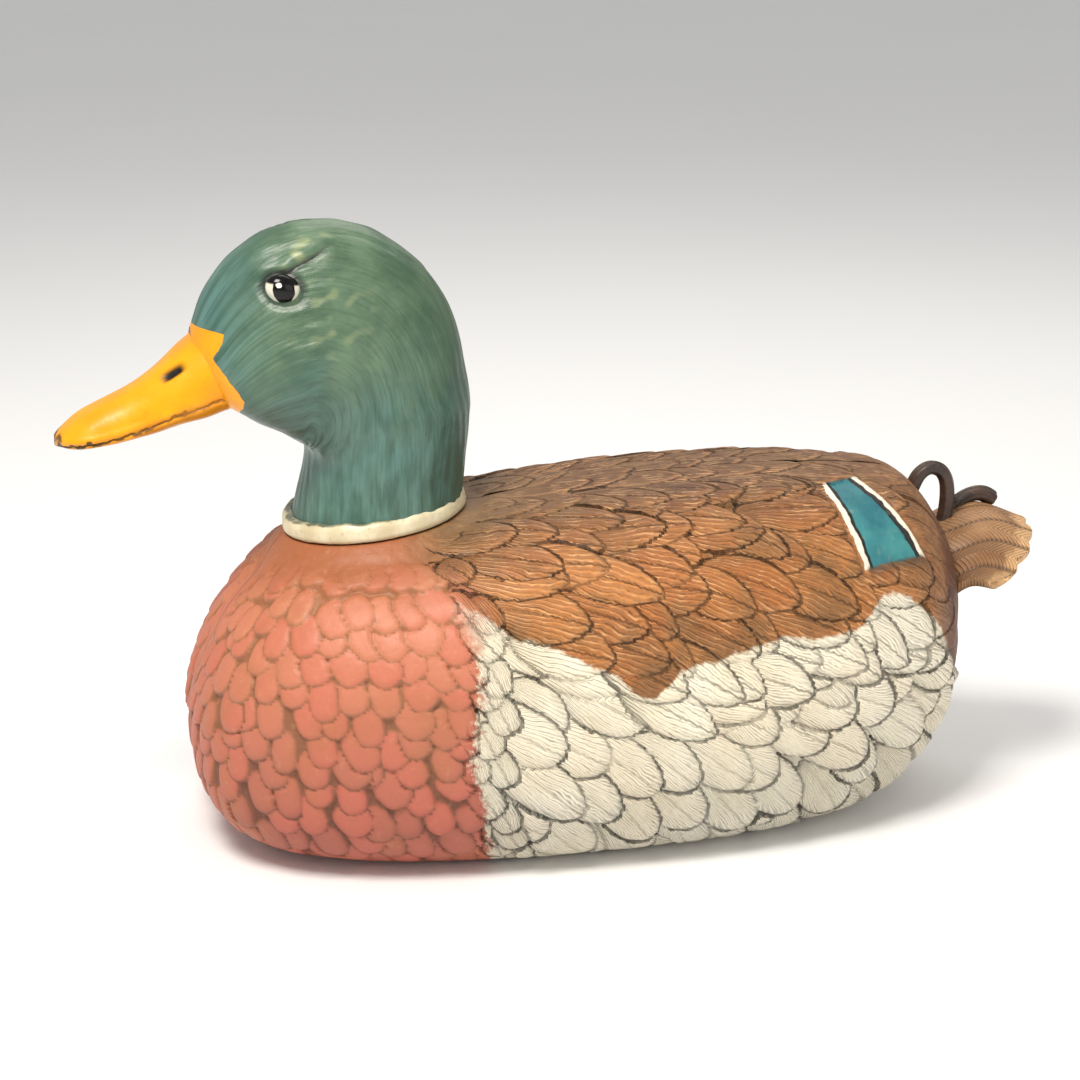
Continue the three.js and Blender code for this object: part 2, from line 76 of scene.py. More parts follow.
def spline(values, t):
    """A Catmull-Rom curve through evenly spaced values, as in the solids."""
    values = np.asarray(values, float)
    place = np.clip(t, 0, 1) * (len(values) - 1)
    i = np.minimum(np.floor(place).astype(int), len(values) - 2)
    f = place - i
    a, b = values[i], values[i + 1]
    before = np.where(i > 0, values[np.maximum(i - 1, 0)], 2 * a - b)
    after = np.where(i + 2 < len(values), values[np.minimum(i + 2, len(values) - 1)], 2 * b - a)
    return 0.5 * (
        2 * a
        + (b - before) * f
        + (2 * before - 5 * a + 4 * b - after) * f**2
        + (3 * (a - b) + after - before) * f**3
    )


def power(value, exponent):
    return np.sign(value) * np.abs(value) ** exponent


def wobble(points, size, seed):
    """Smooth noise from -1 to 1, about `size` mm across."""
    rng = np.random.default_rng(seed)
    total = np.zeros(points.shape[:-1])
    for _ in range(7):
        direction = unit(rng.normal(size=3)) * rng.uniform(0.7, 1.6)
        total += np.sin(points @ direction * (2 * np.pi / size) / 1.6 + rng.uniform(0, 6.3))
    return total / 4.2


def grid_normals(points):
    """Outward normals of a grid whose first axis runs rearwards and second runs round."""
    along = np.gradient(points, axis=0)
    across = np.gradient(points, axis=1)
    return unit(np.cross(across, along))


def closed_normals(points):
    """The same for a grid whose second axis closes on itself."""
    return grid_normals(np.concatenate([points[:, -2:], points, points[:, :2]], 1))[:, 2:-2]


def grid_faces(rows, columns, closed, flip=False):
    i, j = np.meshgrid(np.arange(rows - 1), np.arange(columns if closed else columns - 1), indexing="ij")
    nxt = (j + 1) % columns
    here, below = i * columns, (i + 1) * columns
    quads = np.stack([here + j, below + j, below + nxt, here + nxt], -1).reshape(-1, 4)
    return quads[:, ::-1] if flip else quads


def row_loop(row, columns):
    """The vertex numbers of one row of a grid, for a flat cap."""
    return [row * columns + j for j in range(columns)]


def make_piece(name, points, faces, material, body, attributes=None, extra_faces=()):
    """A smooth-shaded mesh from points in mm, riding on a body."""
    mesh = bpy.data.meshes.new(name)
    every_face = [list(map(int, f)) for f in faces] + [list(f) for f in extra_faces]
    mesh.from_pydata((points.reshape(-1, 3) * MM).tolist(), [], every_face)
    mesh.validate()
    mesh.update()
    for key, values in (attributes or {}).items():
        layer = mesh.attributes.new(key, "FLOAT", "POINT")
        layer.data.foreach_set("value", np.asarray(values, np.float32).reshape(-1))
    mesh.shade_smooth()
    mesh.materials.append(material)
    piece = bpy.data.objects.new(name, mesh)
    bpy.context.scene.collection.objects.link(piece)
    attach(piece, body)
    return piece


# ---- materials ----


def preset(node, values):
    for key, value in values.items():
        node.inputs[key].default_value = value


class Paint:
    """A procedural material: each method adds nodes and returns an output socket."""

    def __init__(self, name, roughness=0.5, metallic=0.0, coat=0.0, specular=0.5):
        self.material = bpy.data.materials.new(name)
        self.material.use_nodes = True
        self.tree = self.material.node_tree
        self.tree.nodes.clear()
        self.shader = self.tree.nodes.new("ShaderNodeBsdfPrincipled")
        output = self.tree.nodes.new("ShaderNodeOutputMaterial")
        self.tree.links.new(self.shader.outputs[0], output.inputs["Surface"])
        preset(self.shader, {"Roughness": roughness, "Metallic": metallic, "Coat Weight": coat,
                             "Coat Roughness": 0.25, "Specular IOR Level": specular})
        self.place = self.tree.nodes.new("ShaderNodeTexCoord").outputs["Object"]

    def put(self, socket, value):
        if isinstance(value, bpy.types.NodeSocket):
            self.tree.links.new(value, socket)
        else:
            socket.default_value = value

    def math(self, operation, a, b=0.0, c=0.0):
        node = self.tree.nodes.new("ShaderNodeMath")
        node.operation = operation
        for socket, value in zip(node.inputs, (a, b, c)):
            self.put(socket, value)
        return node.outputs[0]

    def times(self, a, b):
        return self.math("MULTIPLY", a, b)

    def plus(self, a, b):
        return self.math("ADD", a, b)

    def minus(self, a, b):
        return self.math("SUBTRACT", a, b)

    def swing(self, noise, size):
        """Noise centred on zero, `size` from its lowest to its highest."""
        return self.times(self.minus(noise, 0.5), size)

    def attribute(self, name):
        node = self.tree.nodes.new("ShaderNodeAttribute")
        node.attribute_name = name
        return node.outputs["Fac"]

    def combine(self, x, y, z=0.0):
        node = self.tree.nodes.new("ShaderNodeCombineXYZ")
        for socket, value in zip(node.inputs, (x, y, z)):
            self.put(socket, value)
        return node.outputs[0]

    def split(self):
        node = self.tree.nodes.new("ShaderNodeSeparateXYZ")
        self.put(node.inputs[0], self.place)
        return node.outputs

    def noise(self, scale, detail, vector=None):
        node = self.tree.nodes.new("ShaderNodeTexNoise")
        preset(node, {"Scale": scale, "Detail": detail, "Roughness": 0.55})
        self.put(node.inputs["Vector"], vector or self.place)
        return node.outputs["Fac"]

    def step(self, value, low, high, to_low=0.0, to_high=1.0):
        node = self.tree.nodes.new("ShaderNodeMapRange")
        node.interpolation_type = "SMOOTHSTEP"
        preset(node, {"From Min": low, "From Max": high, "To Min": to_low, "To Max": to_high})
        self.put(node.inputs["Value"], value)
        return node.outputs["Result"]

    def fall(self, value, low, high):
        """1 up to low, and 0 from high on."""
        return self.step(value, low, high, 1.0, 0.0)

    def band(self, value, low, full, fading, high):
        """1 between full and fading, and 0 outside low and high."""
        return self.times(self.step(value, low, full), self.fall(value, fading, high))

    def mix(self, factor, a, b):
        """Two colours blended. Each is a socket or three sRGB numbers from 0 to 255."""
        node = self.tree.nodes.new("ShaderNodeMix")
        node.data_type = "RGBA"
        for key, value in (("Factor", factor), (6, a), (7, b)):
            self.put(node.inputs[key], srgb(*value) if isinstance(value, tuple) else value)
        return node.outputs[2]

    def mottle(self, noise, first, second, low=0.3, high=0.7):
        """Two colours blended by a noise, or by anything else that goes from 0 to 1."""
        return self.mix(self.step(noise, low, high), first, second)

    def colour(self, value):
        self.put(self.shader.inputs["Base Color"], value)

    def gloss(self, value, low, high):
        """Roughness between low and high as value goes from 0 to 1."""
        self.put(self.shader.inputs["Roughness"], self.step(value, 0.0, 1.0, low, high))

    def bump(self, height, distance):
        """Adds a bump whose full height is `distance` mm, on top of the ones before."""
        node = self.tree.nodes.new("ShaderNodeBump")
        preset(node, {"Strength": 1.0, "Distance": distance * MM})
        self.put(node.inputs["Height"], height)
        normal = self.shader.inputs["Normal"]
        if normal.is_linked:
            self.tree.links.new(normal.links[0].from_socket, node.inputs["Normal"])
        self.tree.links.new(node.outputs[0], normal)


# ---- the body's form, the same as the solid's ----

# Heights and half widths from the breast to the stern, closer together towards both ends.

BODY_FRONT, BODY_REAR = -158.0, 171.0
STATIONS = {
    "top": [50, 75, 103, 126, 133, 137.5, 142.3, 144.5, 145, 143.5, 137, 112, 88],
    "bottom": [50, 23, 7, -1, -5, -7, -7, -6, -3, 5, 22, 50, 88],
    "half": [0, 40, 62, 76, 84, 87.5, 88, 86.5, 80, 69, 53.5, 34, 0],
    "waist": [50, 50, 52, 56, 60, 63, 66, 69, 72, 76, 80, 84, 88],
}
UPPER_POWER, LOWER_POWER = 2.35, 3.3
NECK_Y, NECK_Z, NECK_PITCH = -79.0, 132.0, 0.126
SEAT_R = 38.4  # radius of the flat seat the neck stands on
HULL_FLAT_Z = 1.0
BOARD_FRONT, BOARD_REAR, BOARD_HALF = -91.0, 92.0, 36.0
PARTING = 0.15  # from the middle plane to each half's edge


def body_point(t, angle):
    waist = spline(STATIONS["waist"], t)
    up = spline(STATIONS["top"], t) - waist
    down = waist - spline(STATIONS["bottom"], t)
    s, c = np.sin(angle), np.cos(angle)
    e = 2 / np.where(c > 0, UPPER_POWER, LOWER_POWER)
    x = np.maximum(spline(STATIONS["half"], t), 0) * power(s, e)
    y = (BODY_FRONT + BODY_REAR) / 2 - (BODY_REAR - BODY_FRONT) / 2 * np.cos(np.pi * t)
    return np.stack([x, y + 0 * x, waist + np.where(c > 0, up, down) * power(c, e)], -1)


def neck_axes(y, z):
    """Distance behind the neck's axis, and height above its seat."""
    dy, dz = y - NECK_Y, z - NECK_Z
    c, s = math.cos(NECK_PITCH), math.sin(NECK_PITCH)
    return dy * c + dz * s, dz * c - dy * s


def to_neck_frame(points):
    """Distance out from the neck's axis and height above its seat."""
    out, rise = neck_axes(points[..., 1], points[..., 2])
    return np.hypot(points[..., 0], out), rise


def even_steps(lengths, count):
    """Where to sample a curve, given its running length, for even spacing."""
    return np.interp(np.linspace(0, lengths[-1], count), lengths, np.linspace(0, 1, len(lengths)))


def running_length(points, axis=0):
    steps = np.linalg.norm(np.diff(points, axis=axis), axis=-1)
    return np.concatenate([[0], np.cumsum(steps)])


BODY_ROWS, BODY_COLUMNS = 372, 268


def body_grid():
    """The left half's surface: rows from breast to stern, columns from the back's middle to the belly's."""
    fine = np.linspace(0.0012, 0.9988, 1500)
    waistline = body_point(fine, np.full_like(fine, np.pi / 2))
    t = fine[0] + (fine[-1] - fine[0]) * even_steps(running_length(waistline), BODY_ROWS)
    dense = np.linspace(0, np.pi, 900)
    rows = []
    for value in t:
        section = body_point(np.full_like(dense, value), dense)
        angle = np.pi * even_steps(running_length(section), BODY_COLUMNS)
        rows.append(body_point(np.full_like(angle, value), angle))
    points = np.array(rows)
    around, rise = to_neck_frame(points)
    boss = np.interp(around, [0, SEAT_R, 43, 49, 54, 72], [0, 0, -4, -12, -24, -90])
    near = rise > -40
    lifted = np.where(near, np.logaddexp(rise / 1.6, boss / 1.6) * 1.6, rise)
    lifted = np.where(near & (around < 46), -np.logaddexp(-lifted / 0.5, 0) * 0.5, lifted)
    shift = lifted - rise
    points[..., 1] -= shift * math.sin(NECK_PITCH)
    points[..., 2] += shift * math.cos(NECK_PITCH)
    points[..., 2] = np.maximum(points[..., 2], HULL_FLAT_Z)
    return points


# ---- carved feathers ----

# The breast's profile as Y and Z, and how far down along it each of its points is.
BREAST_PROFILE = np.array([[-113, 135], [-119, 127], [-132, 109], [-141, 96], [-148, 84], [-153, 71],
                           [-156, 58], [-157, 39], [-155, 27], [-150, 16], [-140, 8], [-120, 1]])
BREAST_LENGTHS = running_length(BREAST_PROFILE)

# Paint edges: the Y where the pink breast ends at each height, and the height where the brown back ends
# at each Y.
BREAST_EDGE = np.array([[0, -42], [53, -54], [79, -50], [98.7, -50], [117.6, -54], [125, -62], [137, -74]])
BACK_EDGE = np.array([[-60, 113], [-54, 112], [-36, 103], [-18, 96], [2, 86], [14, 77], [20, 77], [30, 86],
                      [55, 92], [73, 94], [95, 92], [108, 94], [120, 104], [127, 104], [138, 96], [149, 86],
                      [160, 69], [172, 50]])

# Lengths are in mm. lift is at the tip, crown is the middle's height and soft is how far in the edge is
# rounded. tip holds the outline's powers, across and along are spacings, and turn is the rows' slant.
FEATHERS = [
    dict(kind="rump", length=15, width=9.5, lift=0.7, crown=0.8, soft=1.0, tip=(2.2, 2.0),
         across=8.4, along=7.2, turn=0.5),
    dict(kind="flank", length=42, width=24, lift=3.0, crown=2.8, soft=3.6, tip=(2.2, 1.9),
         across=18.0, along=18.5, turn=0.72),
    dict(kind="back", length=44, width=22, lift=2.8, crown=1.9, soft=2.8, tip=(1.9, 1.5),
         across=16.0, along=17.0, turn=0.42),
    dict(kind="breast", length=17.5, width=13.4, lift=1.7, crown=1.7, soft=1.7, tip=(2.8, 2.3),
         across=11.6, along=10.8, turn=0),
]
FAR = 1e4  # keeps roots out of the other kinds' regions
REACH_OF_ROOT = 30  # square mm from a planned root to the nearest grid point


def body_fields(points, side_seed):
    """The carved relief and what the paint needs to know, at each point of the body's grid."""
    rng = np.random.default_rng(side_seed)
    normals = grid_normals(points)
    x, y, z = points[..., 0], points[..., 1], points[..., 2]
    shape = x.shape
    spacing_i = np.linalg.norm(np.gradient(points, axis=0), axis=-1)
    spacing_j = np.linalg.norm(np.gradient(points, axis=1), axis=-1)
    down = np.cumsum(spacing_j, axis=1)  # mm round from the back's middle
    breast_edge = y - np.interp(z, BREAST_EDGE[:, 0], BREAST_EDGE[:, 1])
    back_edge = z - np.interp(y, BACK_EDGE[:, 0], BACK_EDGE[:, 1])
    azimuth = np.arctan2(x, -(y + 70))
    breast_down = np.interp(-z, -BREAST_PROFILE[:, 1], BREAST_LENGTHS)
    relief, tint = np.full(shape, 0.5), np.full(shape, 0.5)
    inside, barb = np.zeros(shape), np.zeros(shape)

    for sort in FEATHERS:
        turn = sort["turn"]
        if sort["kind"] == "breast":
            across, along = azimuth * 78, breast_down
            region = breast_edge < 6
        else:
            across = -y * math.sin(turn) + down * math.cos(turn)
            along = y * math.cos(turn) + down * math.sin(turn)
            rump = (y > 112) & (back_edge > -4) & (z < 124)
            region = {
                "rump": rump,
                "flank": (breast_edge > -4) & (back_edge < 6) & (y < 172),
                "back": (breast_edge > -2) & (back_edge > -3) & ~rump & (y < 134),
            }[sort["kind"]]
        roots = []
        span_a = across[region].min(), across[region].max()
        span_b = along[region].min(), along[region].max()
        gap_a, gap_b = sort["across"], sort["along"]
        for row, b in enumerate(np.arange(span_b[0] - gap_b, span_b[1] + gap_b, gap_b)):
            offset = 0.5 * (row % 2) * gap_a
            for a in np.arange(span_a[0] - gap_a + offset, span_a[1] + gap_a, gap_a):
                jitter = rng.normal(scale=0.13, size=2)
                place_a, place_b = a + jitter[0] * gap_a, b + jitter[1] * gap_b
                roots.append((place_b, place_a, rng.uniform(), rng.normal(), rng.normal()))
        for b, a, chance, lean, swell in sorted(roots, reverse=True):
            gap = (across - a) ** 2 + (along - b) ** 2
            gap[~region] += FAR
            i0, j0 = np.unravel_index(np.argmin(gap), shape)
            if gap[i0, j0] > REACH_OF_ROOT:
                continue
            scale = 1 + 0.09 * swell
            length, width = sort["length"] * scale, sort["width"] * (1 + 0.07 * lean)
            centre, normal = points[i0, j0], normals[i0, j0]
            low = smoothstep(70 - centre[2], 0, 50)
            heading = {
                "breast": np.array([0, 0.30 + 0.25 * smoothstep(centre[1], -120, -50), -1.0]),
                "flank": np.array([0, 0.9 - 0.45 * low, -0.5 - 0.45 * low]),
                "back": np.array([0.12, 1.0, -0.42]),
                "rump": np.array([0, 0.8, -0.7]),
            }[sort["kind"]]
            heading = unit(heading - normal * (heading @ normal))
            sideways = np.cross(normal, heading)
            swing = 0.13 * lean
            heading, sideways = (heading * math.cos(swing) + sideways * math.sin(swing),
                                 sideways * math.cos(swing) - heading * math.sin(swing))
            reach_i = int(length / max(spacing_i[i0, j0], 0.3)) + 3
            reach_j = int(length / max(spacing_j[i0, j0], 0.15)) + 3
            window = (slice(max(i0 - reach_i, 0), i0 + reach_i),
                      slice(max(j0 - reach_j, 0), j0 + reach_j))
            offset = points[window] - centre
            tau = offset @ heading / length
            q = offset @ sideways
            r = np.abs(2 * tau - 1) ** sort["tip"][0] + np.abs(2 * q / width) ** sort["tip"][1]
            covered = (r < 1) & (np.abs(offset @ normal) < 0.45 * length)
            edge = np.clip(1 - r, 0, 1) * width * 0.42
            height = sort["lift"] * tau + sort["crown"] * (1 - np.exp(-edge / sort["soft"]))
            if sort["kind"] in ("back", "flank"):
                height -= 0.6 * np.exp(-((q / 1.0) ** 2)) * smoothstep(0.9 - tau, 0, 0.2)
            lines, curve = (23, 1.1) if sort["kind"] == "flank" else (19, 2.6)
            phase = lines * q / (tau * length + 13) + tau * curve * np.sign(q) + 40 * chance
            for field, value in ((relief, height), (inside, edge), (tint, chance), (barb, phase)):
                field[window] = np.where(covered, value, field[window])

    around, _ = to_neck_frame(points)
    front = smoothstep(-y, 95, 118)
    depth = 1 - front * (1 - smoothstep(x, 3.5, 10))
    depth *= 1 - (1 - front) * 0.7 * (1 - smoothstep(down, 14, 40))
    depth *= np.where(z < 90, 1, smoothstep(around, 43, 52))
    depth *= 1 - 0.75 * smoothstep(y, 140, 156) * (back_edge > -6)
    depth *= 0.35 + 0.65 * smoothstep(z, 2, 14)
    along_bar, across_bar = speculum_place(points)
    bar = BAR_HALF + BAR_FLARE * along_bar
    panel = smoothstep(along_bar, -3, 1) * smoothstep(46 - along_bar, 0, 4)
    panel = panel * smoothstep(bar + 5 - np.abs(across_bar), 0, 3)
    depth *= 1 - panel
    raised = np.exp(-(((np.abs(across_bar) - bar) / 1.7) ** 4)) * panel * 1.1
    relief = (relief - 1.1) * depth + raised - 0.35 * panel
    relief += 0.12 * wobble(points, 5.0, 5) * (1 - panel)
    relief *= smoothstep(z, HULL_FLAT_Z + 0.2, 6) * np.where(z < 90, 1, smoothstep(around, 39, 42))
    relief -= 0.12 * np.exp(-((x / 0.7) ** 2)) * (around > 41)
    fields = {
        "edge": inside, "barb": barb, "tint": tint, "carved": depth, "breast_edge": breast_edge,
        "back_edge": back_edge, "from_neck": around, "spine": down,
    }
    return points + normals * relief[..., None], fields


# The speculum's own place: along its bars from the top, and across them from its middle. Its white bars lie
# BAR_HALF mm either side of the middle at the top, and spread by BAR_FLARE on the way down.
SPECULUM = dict(origin=(27, 114, 142), along=(0.744, 0.336, -0.576), across=(-0.266, 0.942, 0.206))
BAR_HALF, BAR_FLARE = 8.2, 0.15


def speculum_place(points):
    offset = points - np.array(SPECULUM["origin"])
    return offset @ np.array(SPECULUM["along"]), offset @ np.array(SPECULUM["across"])


def body_paint(side):
    """Pink scaled breast, brown back, white flanks, a teal speculum and dark colour in the grooves."""
    p = Paint(f"painted_{side}_body", roughness=0.5, coat=0.06)
    x, y, z = p.split()
    x = p.math("ABSOLUTE", x)
    edge, tint = p.attribute("edge"), p.attribute("tint")
    breast_edge, back_edge = p.attribute("breast_edge"), p.attribute("back_edge")
    carved, from_neck, spine = p.attribute("carved"), p.attribute("from_neck"), p.attribute("spine")
    coarse, fine = p.noise(38, 4), p.noise(260, 4)
    speck = p.noise(700, 3)
    ragged = p.plus(p.swing(coarse, 18.0), p.swing(fine, 16.0))
    barb = p.attribute("barb")
    barb_turns = p.plus(barb, p.times(p.noise(70, 3), 2.6))
    barb_wave = p.math("SINE", p.times(barb_turns, 2 * math.pi))
    barb_hill = p.step(barb_wave, -1.0, 1.0)

    # How deep in a groove a point is: the feather's outline, roughened.
    groove = p.step(p.plus(edge, p.swing(fine, 3.2)), 0.0, 2.6, 0.9, 0.0)
    groove = p.times(groove, p.step(carved, 0.05, 0.5))
    crown_light = p.step(edge, 1.0, 5.0)
    rim = p.band(edge, 0.4, 1.4, 1.4, 3.4)

    # Painted shade: the pink breast and its grooves are painted darker towards the bottom, where the breast
    # turns under.
    height = p.step(z, 0.010, 0.115)
    pink = p.mix(height, (158, 94, 78), (206, 142, 112))
    pink = p.mix(p.step(tint, 0.2, 0.9, 0.0, 0.45), pink, (200, 112, 96))
    # The feathers' raised middles are painted lighter: dry-brushed paint and a painted highlight together.
    pink = p.mix(p.times(crown_light, 0.25), pink, (212, 136, 116))
    pink = p.mix(p.step(coarse, 0.48, 0.7, 0.0, 0.5), pink, (182, 122, 88))
    pink = p.mix(p.times(groove, 0.9), pink, p.mix(height, (112, 76, 56), (158, 116, 82)))
    under_neck = p.fall(p.plus(from_neck, p.times(ragged, 0.9)), 42.0, 68.0)
    pink = p.mix(p.times(under_neck, 0.9), pink, (172, 112, 76))

    to_spine = p.step(p.plus(spine, p.times(ragged, 1.2)), 22.0, 70.0)
    brown = p.mix(to_spine, (118, 82, 50), (206, 146, 92))
    deeper = p.mix(to_spine, (104, 70, 42), (180, 116, 68))
    brown = p.mix(p.step(tint, 0.1, 0.9, 0.0, 0.55), brown, deeper)
    brushed = p.times(p.step(barb_wave, 0.1, 1.0), p.step(p.noise(140, 3), 0.45, 0.65))
    brown = p.mix(p.times(brushed, 0.55), brown, (242, 200, 152))
    brown = p.mix(p.times(p.fall(barb_wave, -1.0, -0.4), 0.45), brown, (128, 86, 52))
    brown = p.mix(p.times(rim, 0.30), brown, (224, 170, 122))
    brown = p.mix(p.step(coarse, 0.42, 0.66, 0.0, 0.7), brown, (138, 106, 70))
    broken = p.step(p.noise(120, 3), 0.40, 0.64, 0.12, 0.8)
    brown = p.mix(p.times(groove, broken), brown, (124, 98, 66))

    # Painted shade: towards the bottom, where the body turns under, the flanks' hatching and grooves are
    # darker and the white is greyer.
    low = p.fall(z, 0.006, 0.070)
    white = p.mottle(coarse, (255, 248, 230), (246, 236, 212), 0.3, 0.75)
    white = p.mix(p.step(tint, 0.3, 1.0, 0.0, 0.4), white, (250, 238, 214))
    near_edge = p.step(p.plus(edge, p.times(ragged, 0.7)), 0.5, 6.0, 0.9, 0.0)
    hatched = p.times(p.fall(barb_wave, -1.0, -0.45), near_edge)
    thin = p.times(hatched, p.step(low, 0.0, 1.0, 0.36, 0.85))
    white = p.mix(thin, white, (126, 130, 134))
    patchy = p.times(groove, p.step(p.noise(90, 3), 0.40, 0.62, 0.2, 1.0))
    grey = p.times(patchy, p.step(low, 0.0, 1.0, 0.42, 0.95))
    white = p.mix(grey, white, p.mix(low, (166, 156, 136), (84, 94, 102)))

    is_back = p.step(p.plus(back_edge, p.times(ragged, 0.35)), -1.0, 1.2)
    # Painted shade: the lower flank is painted greyer.
    white = p.mix(p.times(low, 0.5), white, (186, 182, 172))
    colour = p.mix(is_back, white, brown)
    rump = p.step(p.plus(y, p.times(ragged, 0.0004)), 0.118, 0.150)
    rump = p.times(rump, p.step(back_edge, -3.0, 8.0))
    rump_brown = p.mottle(fine, (170, 128, 90), (138, 100, 70), 0.35, 0.65)
    colour = p.mix(p.times(rump, 0.7), colour, rump_brown)
    vent = p.step(p.plus(y, p.times(ragged, 0.0003)), 0.150, 0.158)
    vent = p.times(vent, p.step(back_edge, -14.0, -1.0))
    colour = p.mix(vent, colour, p.mottle(coarse, (112, 72, 50), (140, 100, 72), 0.4, 0.7))
    blurred = p.step(z, 0.092, 0.112, 1.0, 6.0)
    rough_edge = p.plus(breast_edge, p.times(p.plus(ragged, p.swing(speck, 14.0)), 0.62))
    is_rear = p.step(p.math("DIVIDE", rough_edge, blurred), -1.9, 2.6)
    colour = p.mix(is_rear, pink, colour)
    beside_neck = p.times(p.fall(from_neck, 42.0, 74.0), is_rear)
    colour = p.mix(p.times(beside_neck, 0.6), colour, (134, 108, 76))

    # The speculum: a teal panel between two raised white bars, each edged in black on the inside.
    here = [p.minus(v, o * MM) for v, o in zip((x, y, z), SPECULUM["origin"])]

    def along(axis):
        total = p.times(here[0], SPECULUM[axis][0] / MM)
        for value, part in zip(here[1:], SPECULUM[axis][1:]):
            total = p.math("MULTIPLY_ADD", value, part / MM, total)
        return total

    down_bar = along("along")
    wavy = p.swing(p.noise(150, 2), 3.2)
    from_middle = p.math("ABSOLUTE", along("across"))
    off_bar = p.minus(from_middle, p.math("MULTIPLY_ADD", down_bar, BAR_FLARE, BAR_HALF))
    off_bar = p.plus(off_bar, wavy)
    length = p.times(p.step(down_bar, -2.6, -1.2), p.fall(p.plus(down_bar, wavy), 42.0, 43.5))
    teal = p.mottle(coarse, (44, 118, 130), (88, 158, 160), 0.35, 0.7)
    colour = p.mix(p.times(length, p.fall(off_bar, -1.0, -0.4)), colour, teal)
    black = p.band(off_bar, -3.4, -2.7, -0.9, -0.3)
    colour = p.mix(p.times(length, black), colour, (34, 34, 34))
    bar = p.band(off_bar, -1.3, -0.8, 1.1, 1.6)
    colour = p.mix(p.times(length, bar), colour, (244, 236, 220))
    # A painted shadow in dark brown just below the speculum's lower end.
    speculum_shadow = p.band(down_bar, 41.0, 43.0, 44.0, 49.0)
    speculum_shadow = p.times(speculum_shadow, p.fall(off_bar, -1.0, 1.0))
    colour = p.mix(p.times(speculum_shadow, 0.7), colour, (74, 62, 48))

    # A general soft mottle, as dry-brushed paint has, and a few specks of wear.
    colour = p.mix(p.step(fine, 0.55, 0.8, 0.0, 0.2), colour, (214, 180, 140))
    colour = p.mix(p.step(speck, 0.70, 0.78, 0.0, 0.4), colour, (110, 88, 70))
    p.colour(colour)
    p.gloss(fine, 0.46, 0.68)
    p.bump(p.times(barb_hill, p.times(carved, p.step(breast_edge, -6.0, 4.0))), 0.75)
    p.bump(fine, 0.5)
    p.bump(speck, 0.12)
    return p.material


left_points = body_grid()
SIDES = {"left": 1.0, "right": -1.0}
for seed, (side, sign) in enumerate(SIDES.items()):
    carved_points, fields = body_fields(left_points, 11 + seed)
    carved_points[..., 0] = np.maximum(carved_points[..., 0], PARTING)
    carved_points[:, 0, 0] = carved_points[:, -1, 0] = PARTING
    shown = carved_points * np.array([sign, 1, 1])
    faces = grid_faces(BODY_ROWS, BODY_COLUMNS, False, flip=sign < 0)
    middle = carved_points.reshape(-1, 3)[faces].mean(1)
    around, rise = to_neck_frame(middle)
    past_rear = middle[:, 1] - (BOARD_REAR - BOARD_HALF)
    past_front = (BOARD_FRONT + BOARD_HALF) - middle[:, 1]
    past_end = np.maximum(np.maximum(past_rear, past_front), 0)
    over_board = (np.hypot(middle[:, 0], past_end) < BOARD_HALF - 3) & (middle[:, 2] < 4)
    # The skin is open over the board and where the neck's bush passes through.
    faces = faces[~(over_board | ((around < 26) & (rise > -30)))]
    caps = [row_loop(0, BODY_COLUMNS), row_loop(BODY_ROWS - 1, BODY_COLUMNS)]
    caps = [caps[0] if sign > 0 else caps[0][::-1], caps[1][::-1] if sign > 0 else caps[1]]
    piece = make_piece(f"{side}_body_skin", shown, faces, body_paint(side), "hull", fields, caps)
    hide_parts(f"{side}_body_shell")


# ---- the head's form, as the solid's but for a fuller forehead and a tapered nape ----

HEAD = dict(y=-97.2, z=195.5, rx=32, ry=55.6, rz=61.8, tilt=0.313)
CHIN_Y, CHIN_Z, CHIN_SLOPE = -106.4, 166.5, 0.577
THROAT_Y, THROAT_Z, THROAT_RISE = -110.0, 166.0, 36.0
NECK_BASE = 2.2
EYE = np.array([24.3, -116.3, 233.0])


def to_ellipsoid(x, y, z, cx, cy, cz, rx, ry, rz, tilt):
    dy, dz = y - cy, z - cz
    py, pz = dy * math.cos(tilt) + dz * math.sin(tilt), dz * math.cos(tilt) - dy * math.sin(tilt)
    near = np.sqrt(((x - cx) / rx) ** 2 + (py / ry) ** 2 + (pz / rz) ** 2)
    far = np.sqrt(((x - cx) / rx**2) ** 2 + (py / ry**2) ** 2 + (pz / rz**2) ** 2)
    return near * (near - 1) / np.maximum(far, 1e-9)


def to_head(points):
    x, y, z = points[..., 0], points[..., 1], points[..., 2]
    ball = to_ellipsoid(x, y, z, 0, HEAD["y"], HEAD["z"], HEAD["rx"], HEAD["ry"], HEAD["rz"], HEAD["tilt"])
    below = (CHIN_Y - y) * math.sin(CHIN_SLOPE) + (CHIN_Z - z) * math.cos(CHIN_SLOPE)
    skull = 5 * np.logaddexp(ball / 5, below / 5)
    out, rise = neck_axes(y, z)
    reach = np.minimum(rise, 40)
    neck = np.hypot(x, out - 0.3 * reach) - (36.4 - 0.1 * reach) + 9 * smoothstep(z, 178, 208)
    neck = np.maximum(neck, z - 204)
    parts = [skull, to_ellipsoid(np.abs(x), y, z, 12, -106, 199, 20, 33, 23, 0.15),
             to_ellipsoid(x, y, z, 0, -129, 203, 20.5, 25, 18.5, 0.35), neck]
    return -3.2 * np.log(sum(np.exp(-np.clip(d, -120, 120) / 3.2) for d in parts))


